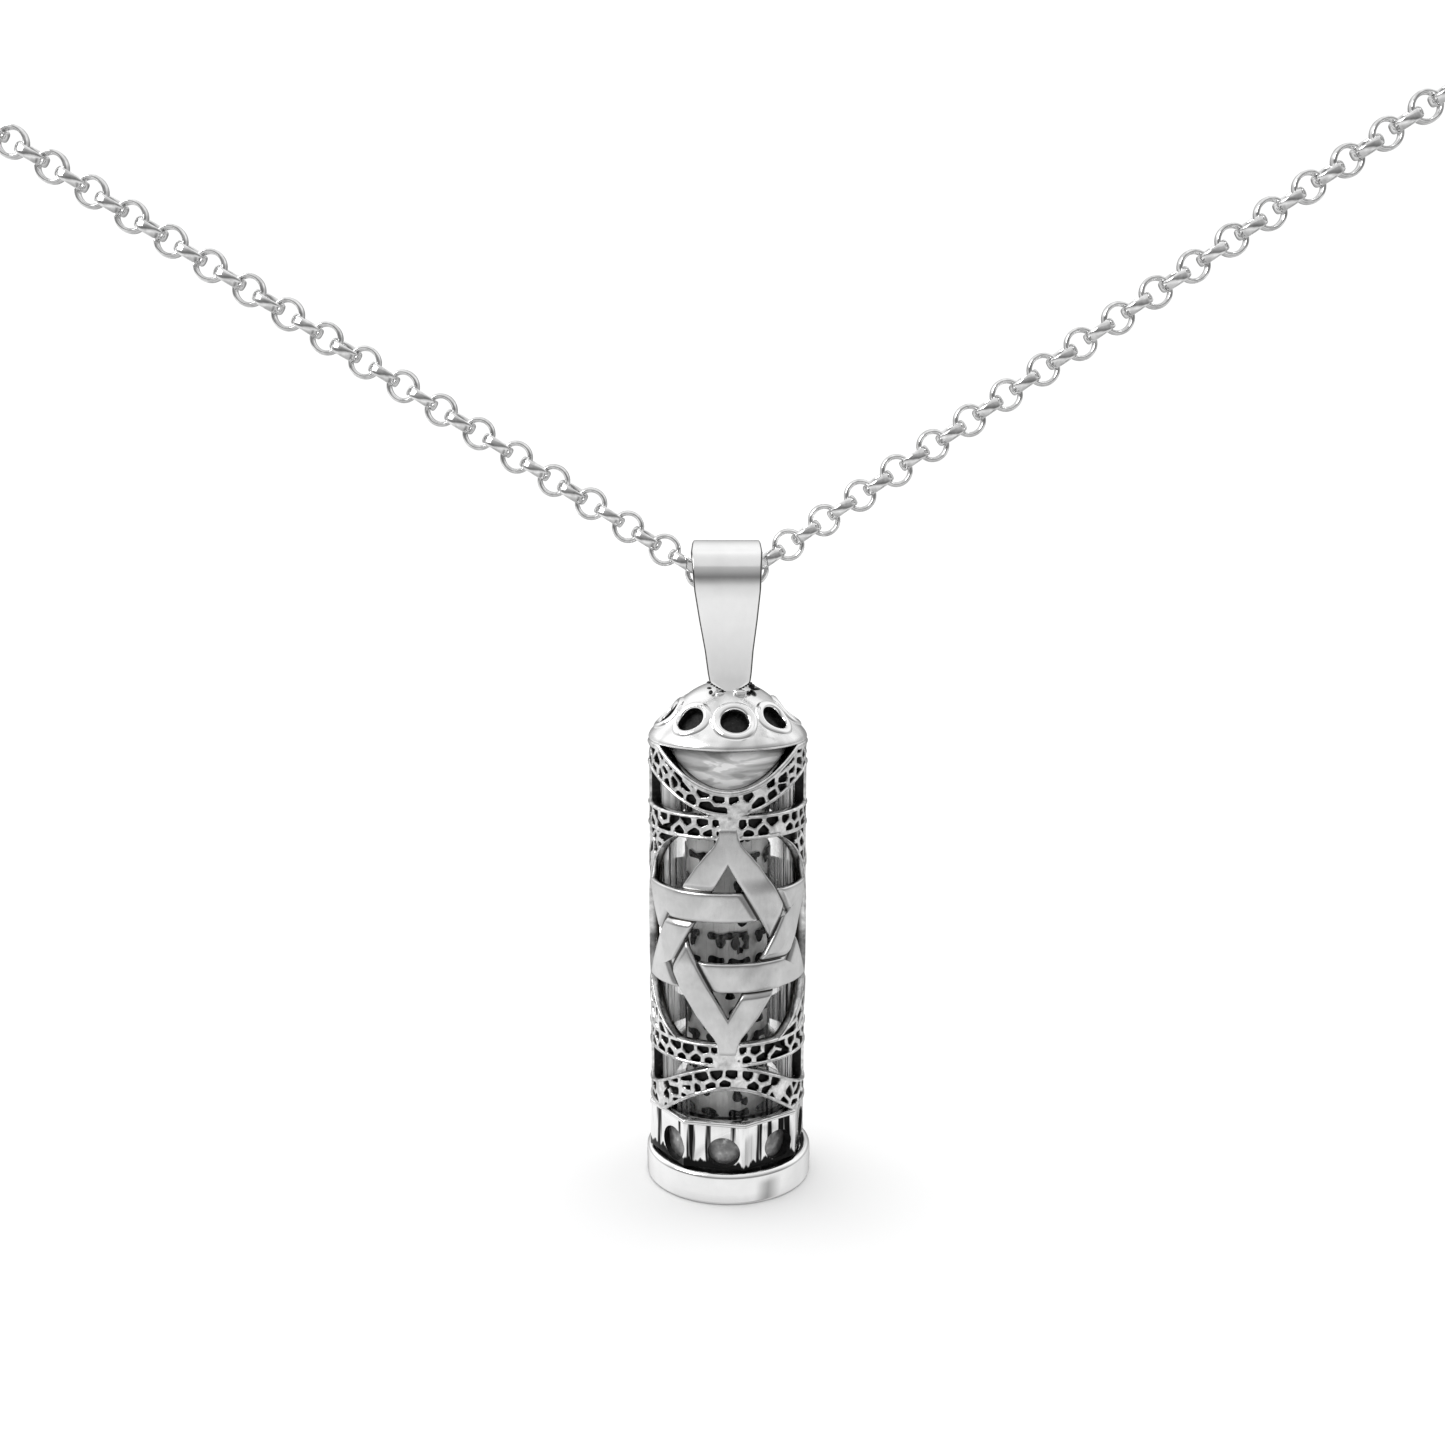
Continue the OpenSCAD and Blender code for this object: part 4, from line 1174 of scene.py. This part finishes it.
def marks():
    """Rows of generic ink marks round the scroll: bars and bent stems, no letters."""
    rng = np.random.default_rng(41)
    low, high = SCROLL
    parts = []
    for h in np.arange(high - ROW_TOP, low + ROW_GAP, -ROW_PITCH):
        s = rng.uniform(0, 0.5)
        while s < 2 * math.pi * SCROLL_RADIUS - 1.0:
            bar = rng.uniform(1.0, 1.9)
            for path in mark_paths(s, h, bar, rng):
                block = stroke(path, rng.uniform(0.42, 0.56), rng)
                ink = polar(SCROLL_RADIUS + INK_LIFT, block[..., 0] / SCROLL_RADIUS, block[..., 1])
                parts.append((ink, grid_faces(*block.shape[:2])))
            s += bar + rng.uniform(0.35, 0.6)
    make_piece("scroll_marks", None, *joined(parts), [INK], "vial", "parchment", 60)


# ---------- chain ----------

LINK_PITCH = 1.32
LINK_MIDDLE = 0.84
LINK_THICK, LINK_HALF_WIDTH = 0.15, 0.33
RING_STEPS, WIRE_STEPS = 64, 14
# Each arm: where its first link is, how many degrees it rises and the number of its last link.
ARMS = {-1: ((-1.63, 0.15), 32.0, 38), 1: ((1.53, 0.36), 34.5, 40)}
CENTRE_LINK, CENTRE_PLACE, CENTRE_TILT = 1.06, (-0.05, 0, 0.255), math.radians(-3.8)


def link_points(middle):
    """One rolo link about the Z axis: a flat oval wire bent into a ring."""
    a, b = circle(RING_STEPS), circle(WIRE_STEPS)
    c = np.sign(np.cos(b)) * np.abs(np.cos(b)) ** 0.85
    d = np.sign(np.sin(b)) * np.abs(np.sin(b)) ** 0.8
    r = middle + LINK_THICK * c
    z = LINK_HALF_WIDTH * d
    return np.stack([np.outer(np.cos(a), r), np.outer(np.sin(a), r), np.outer(np.ones_like(a), z)], -1)


def arm_matrix(side):
    (x, z), rise, _ = ARMS[side]
    turn = math.radians(180 + rise) if side < 0 else math.radians(-rise)
    return Matrix.Translation((x, 0, z)) @ Matrix.Rotation(turn, 4, "Y")


def moved(points, matrix):
    m = np.array(matrix)
    return points @ m[:3, :3].T + m[:3, 3]


def link_group(name, node, matrices, middle=LINK_MIDDLE):
    shape = link_points(middle).reshape(-1, 3)
    quads = grid_faces(RING_STEPS, WIRE_STEPS, True, True)
    parts = [(moved(shape, matrix), quads) for matrix in matrices]
    make_piece(name, node, *joined(parts), [CHAIN], "chain", "chain_silver", 80)


def chain():
    tilt = Matrix.Translation(CENTRE_PLACE) @ Matrix.Rotation(CENTRE_TILT, 4, "Y")
    link_group("link_in_bail", "chain_centre_link", [tilt], CENTRE_LINK)
    rng = np.random.default_rng(5)
    for side, word in ((-1, "left"), (1, "right")):
        arm = arm_matrix(side)
        last = ARMS[side][2]
        for first, kind in ((0, "face"), (1, "edge")):
            matrices = []
            for i in range(first, last + 1, 2):
                spin = Matrix.Rotation(math.radians(rng.uniform(-5, 5)), 4, "X")
                face = Matrix.Rotation(math.radians(90), 4, "X") if first == 0 else Matrix.Identity(4)
                matrices.append(arm @ Matrix.Translation((i * LINK_PITCH, 0, 0)) @ spin @ face)
            link_group(f"links_{word}_{kind}", f"chain_{word}_{kind}_links", matrices)


def keep_cad():
    """CAD nodes whose shape is already right get their finish here."""
    for name, material in (("jump_ring_left", CHAIN), ("jump_ring_right", CHAIN), ("clasp_body", DOME),
                           ("clasp_lever", RIM), ("clasp_pin", CHAIN), ("clasp_spring", SEAT),
                           ("end_tag", DOME)):
        node = frame["nodes"][name]
        node.data.materials.clear()
        node.data.materials.append(material)
        node.data.shade_smooth()
        node.data.set_sharp_from_angle(angle=math.radians(40))


# ---------- studio ----------

FLOOR_HALF, FLOOR_GAP = 1.5, 0.00002
BACKDROP = 1.05


def floor():
    """A white ground under the case, which does not show in the metal."""
    mesh = bpy.data.meshes.new("floor")
    size, z = FLOOR_HALF, -HANG * MM - FLOOR_GAP
    mesh.from_pydata([(-size, -size, z), (size, -size, z), (size, size, z), (-size, size, z)],
                     [], [(0, 1, 2, 3)])
    sh = Shader("floor_white")
    sh.set("Base Color", sh.ramp(sh.noise(60, 2.0), [(0.3, 0.9), (0.7, 0.93)]))
    sh.set("Roughness", 0.7)
    sh.set("Specular IOR Level", 0.1)
    sh.set("Emission Color", (1.0, 1.0, 1.0))
    sh.set("Emission Strength", 0.04)
    mesh.materials.append(sh.material)
    piece = bpy.data.objects.new("floor", mesh)
    bpy.context.scene.collection.objects.link(piece)
    piece.visible_glossy = False


# How bright the sky is, by degrees above level in front and behind, and by degrees from the front.
FRONT_BY_HEIGHT = [(-90, 0.5), (-48, 0.6), (-34, 0.75), (-27, 0.92), (-21, 0.9), (-16, 0.78),
                   (-12, 0.68), (-8, 0.4), (-5, 0.24), (0, 0.2), (8, 0.27), (18, 0.37), (34, 0.5),
                   (39, 0.74), (62, 0.8), (80, 0.9), (90, 1.05)]
BACK_BY_HEIGHT = [(-90, 0.5), (-40, 0.7), (-20, 0.75), (-6, 0.5), (6, 0.5), (20, 0.95), (60, 1.05),
                  (90, 1.05)]
BY_TURN = [(-180, 0.5), (-164, 0.55), (-150, 1.2), (-125, 1.5), (-100, 1.35), (-70, 1.05),
           (-30, 1.0), (20, 1.0), (76, 1.0), (100, 1.1), (130, 1.1), (150, 0.85), (166, 0.5),
           (180, 0.5)]
LOW_CARD = [(-180, 1.0), (38, 1.0), (49, 0.6), (58, 0.4), (68, 0.65), (80, 1.0), (180, 1.0)]
LOW_CARD_EDGE = (-22.0, -26.0)
BRIGHTEST = 1.6
MATT_GAIN, THROWN_LOSS = 0.5, 0.6


class Sky(Nodes):
    """Light that depends on the direction it comes from and on the kind of ray that meets it."""

    def __init__(self, tree):
        super().__init__(tree)
        parts = self.node("ShaderNodeSeparateXYZ")
        self.join(self.node("ShaderNodeTexCoord").outputs["Generated"], parts.inputs[0])
        x, self.y, self.z = parts.outputs
        self.height = self.degrees("ARCSINE", self.z)
        self.turn = self.degrees("ARCTAN2", x, self.sums("MULTIPLY", self.y, -1.0))
        self.path = self.node("ShaderNodeLightPath").outputs

    def degrees(self, operation, *values):
        return self.sums("MULTIPLY", self.sums(operation, *values), 180 / math.pi)

    def span(self, source, start, end):
        """0 at start, 1 at end."""
        made = self.node("ShaderNodeMapRange")
        made.inputs["From Min"].default_value = start
        made.inputs["From Max"].default_value = end
        self.join(source, made.inputs["Value"])
        return made.outputs[0]

    def blend(self, factor, a, b):
        made = self.node("ShaderNodeMix")
        for index, value in ((0, factor), (2, a), (3, b)):
            self.fill(made.inputs[index], value)
        return made.outputs[0]

    def table(self, source, stops):
        """A value by angle, from (degrees, value) rows."""
        low, high = stops[0][0], stops[-1][0]
        part = self.sums("DIVIDE", self.sums("SUBTRACT", source, float(low)), float(high - low))
        made = self.ramp(part, [((at - low) / (high - low), value / BRIGHTEST) for at, value in stops])
        return self.sums("MULTIPLY", made, BRIGHTEST)

    def by_height(self):
        return self.blend(self.span(self.y, 0.3, -0.3), self.table(self.height, BACK_BY_HEIGHT),
                          self.table(self.height, FRONT_BY_HEIGHT))

    def by_turn(self):
        """The turn counts in full for level light, and less the steeper the light comes."""
        level = self.sums("SUBTRACT", 1.0, self.sums("MULTIPLY", self.z, self.z))
        return self.blend(self.sums("POWER", level, 1.8), 1.0, self.table(self.turn, BY_TURN))

    def low_card(self):
        """A dark card low on the right."""
        return self.blend(self.span(self.height, *LOW_CARD_EDGE), 1.0, self.table(self.turn, LOW_CARD))

    def by_path(self):
        """More on matt surfaces, less for what the metal throws onto them."""
        matt = self.sums("ADD", 1.0, self.sums("MULTIPLY", self.path["Is Diffuse Ray"], MATT_GAIN))
        once = self.sums("MINIMUM", self.path["Diffuse Depth"], 1.0)
        thrown = self.sums("MULTIPLY", self.path["Is Glossy Ray"], once)
        kept = self.sums("SUBTRACT", 1.0, self.sums("MULTIPLY", thrown, THROWN_LOSS))
        return self.sums("MULTIPLY", matt, kept)

    def background(self, strength):
        made = self.node("ShaderNodeBackground")
        made.inputs["Color"].default_value = (1, 1, 1, 1)
        self.fill(made.inputs["Strength"], strength)
        return made.outputs[0]


def world():
    """A soft studio seen in the metal: pale above, darker level with the case."""
    made = bpy.data.worlds.new("studio")
    bpy.context.scene.world = made
    made.use_nodes = True
    made.node_tree.nodes.clear()
    sky = Sky(made.node_tree)
    light = sky.by_height()
    for part in (sky.by_turn(), sky.low_card(), sky.by_path()):
        light = sky.sums("MULTIPLY", light, part)
    seen = sky.node("ShaderNodeMixShader")
    sky.join(sky.path["Is Camera Ray"], seen.inputs[0])
    sky.join(sky.background(light), seen.inputs[1])
    sky.join(sky.background(BACKDROP), seen.inputs[2])
    sky.join(seen.outputs[0], sky.node("ShaderNodeOutputWorld").inputs["Surface"])


def softbox(name, place, aim, size, power):
    """A lamp that shows only in reflections."""
    data = bpy.data.lights.new(name, "AREA")
    data.shape = "RECTANGLE"
    data.size, data.size_y = size[0] * MM, size[1] * MM
    data.energy = power
    lamp = bpy.data.objects.new(name, data)
    lamp.location = Vector(place) * MM
    lamp.rotation_euler = (Vector(aim) - Vector(place)).to_track_quat("-Z", "Y").to_euler()
    lamp.visible_diffuse = False
    bpy.context.scene.collection.objects.link(lamp)


def studio():
    bpy.context.scene.view_settings.view_transform = "Standard"
    world()
    floor()
    softbox("softbox_left", (-150, -70, 110), (0, 0, -15), (120, 120), 0.24)


# ---------- build ----------

chain()
keep_cad()
bail()
solder()
shape = dome()
dome_rims(*shape)
level_bands()
swags_and_arches()
window_frames()
side_posts()
stars()
collar()
collar_lip()
base()
vial()
scroll()
marks()
studio()
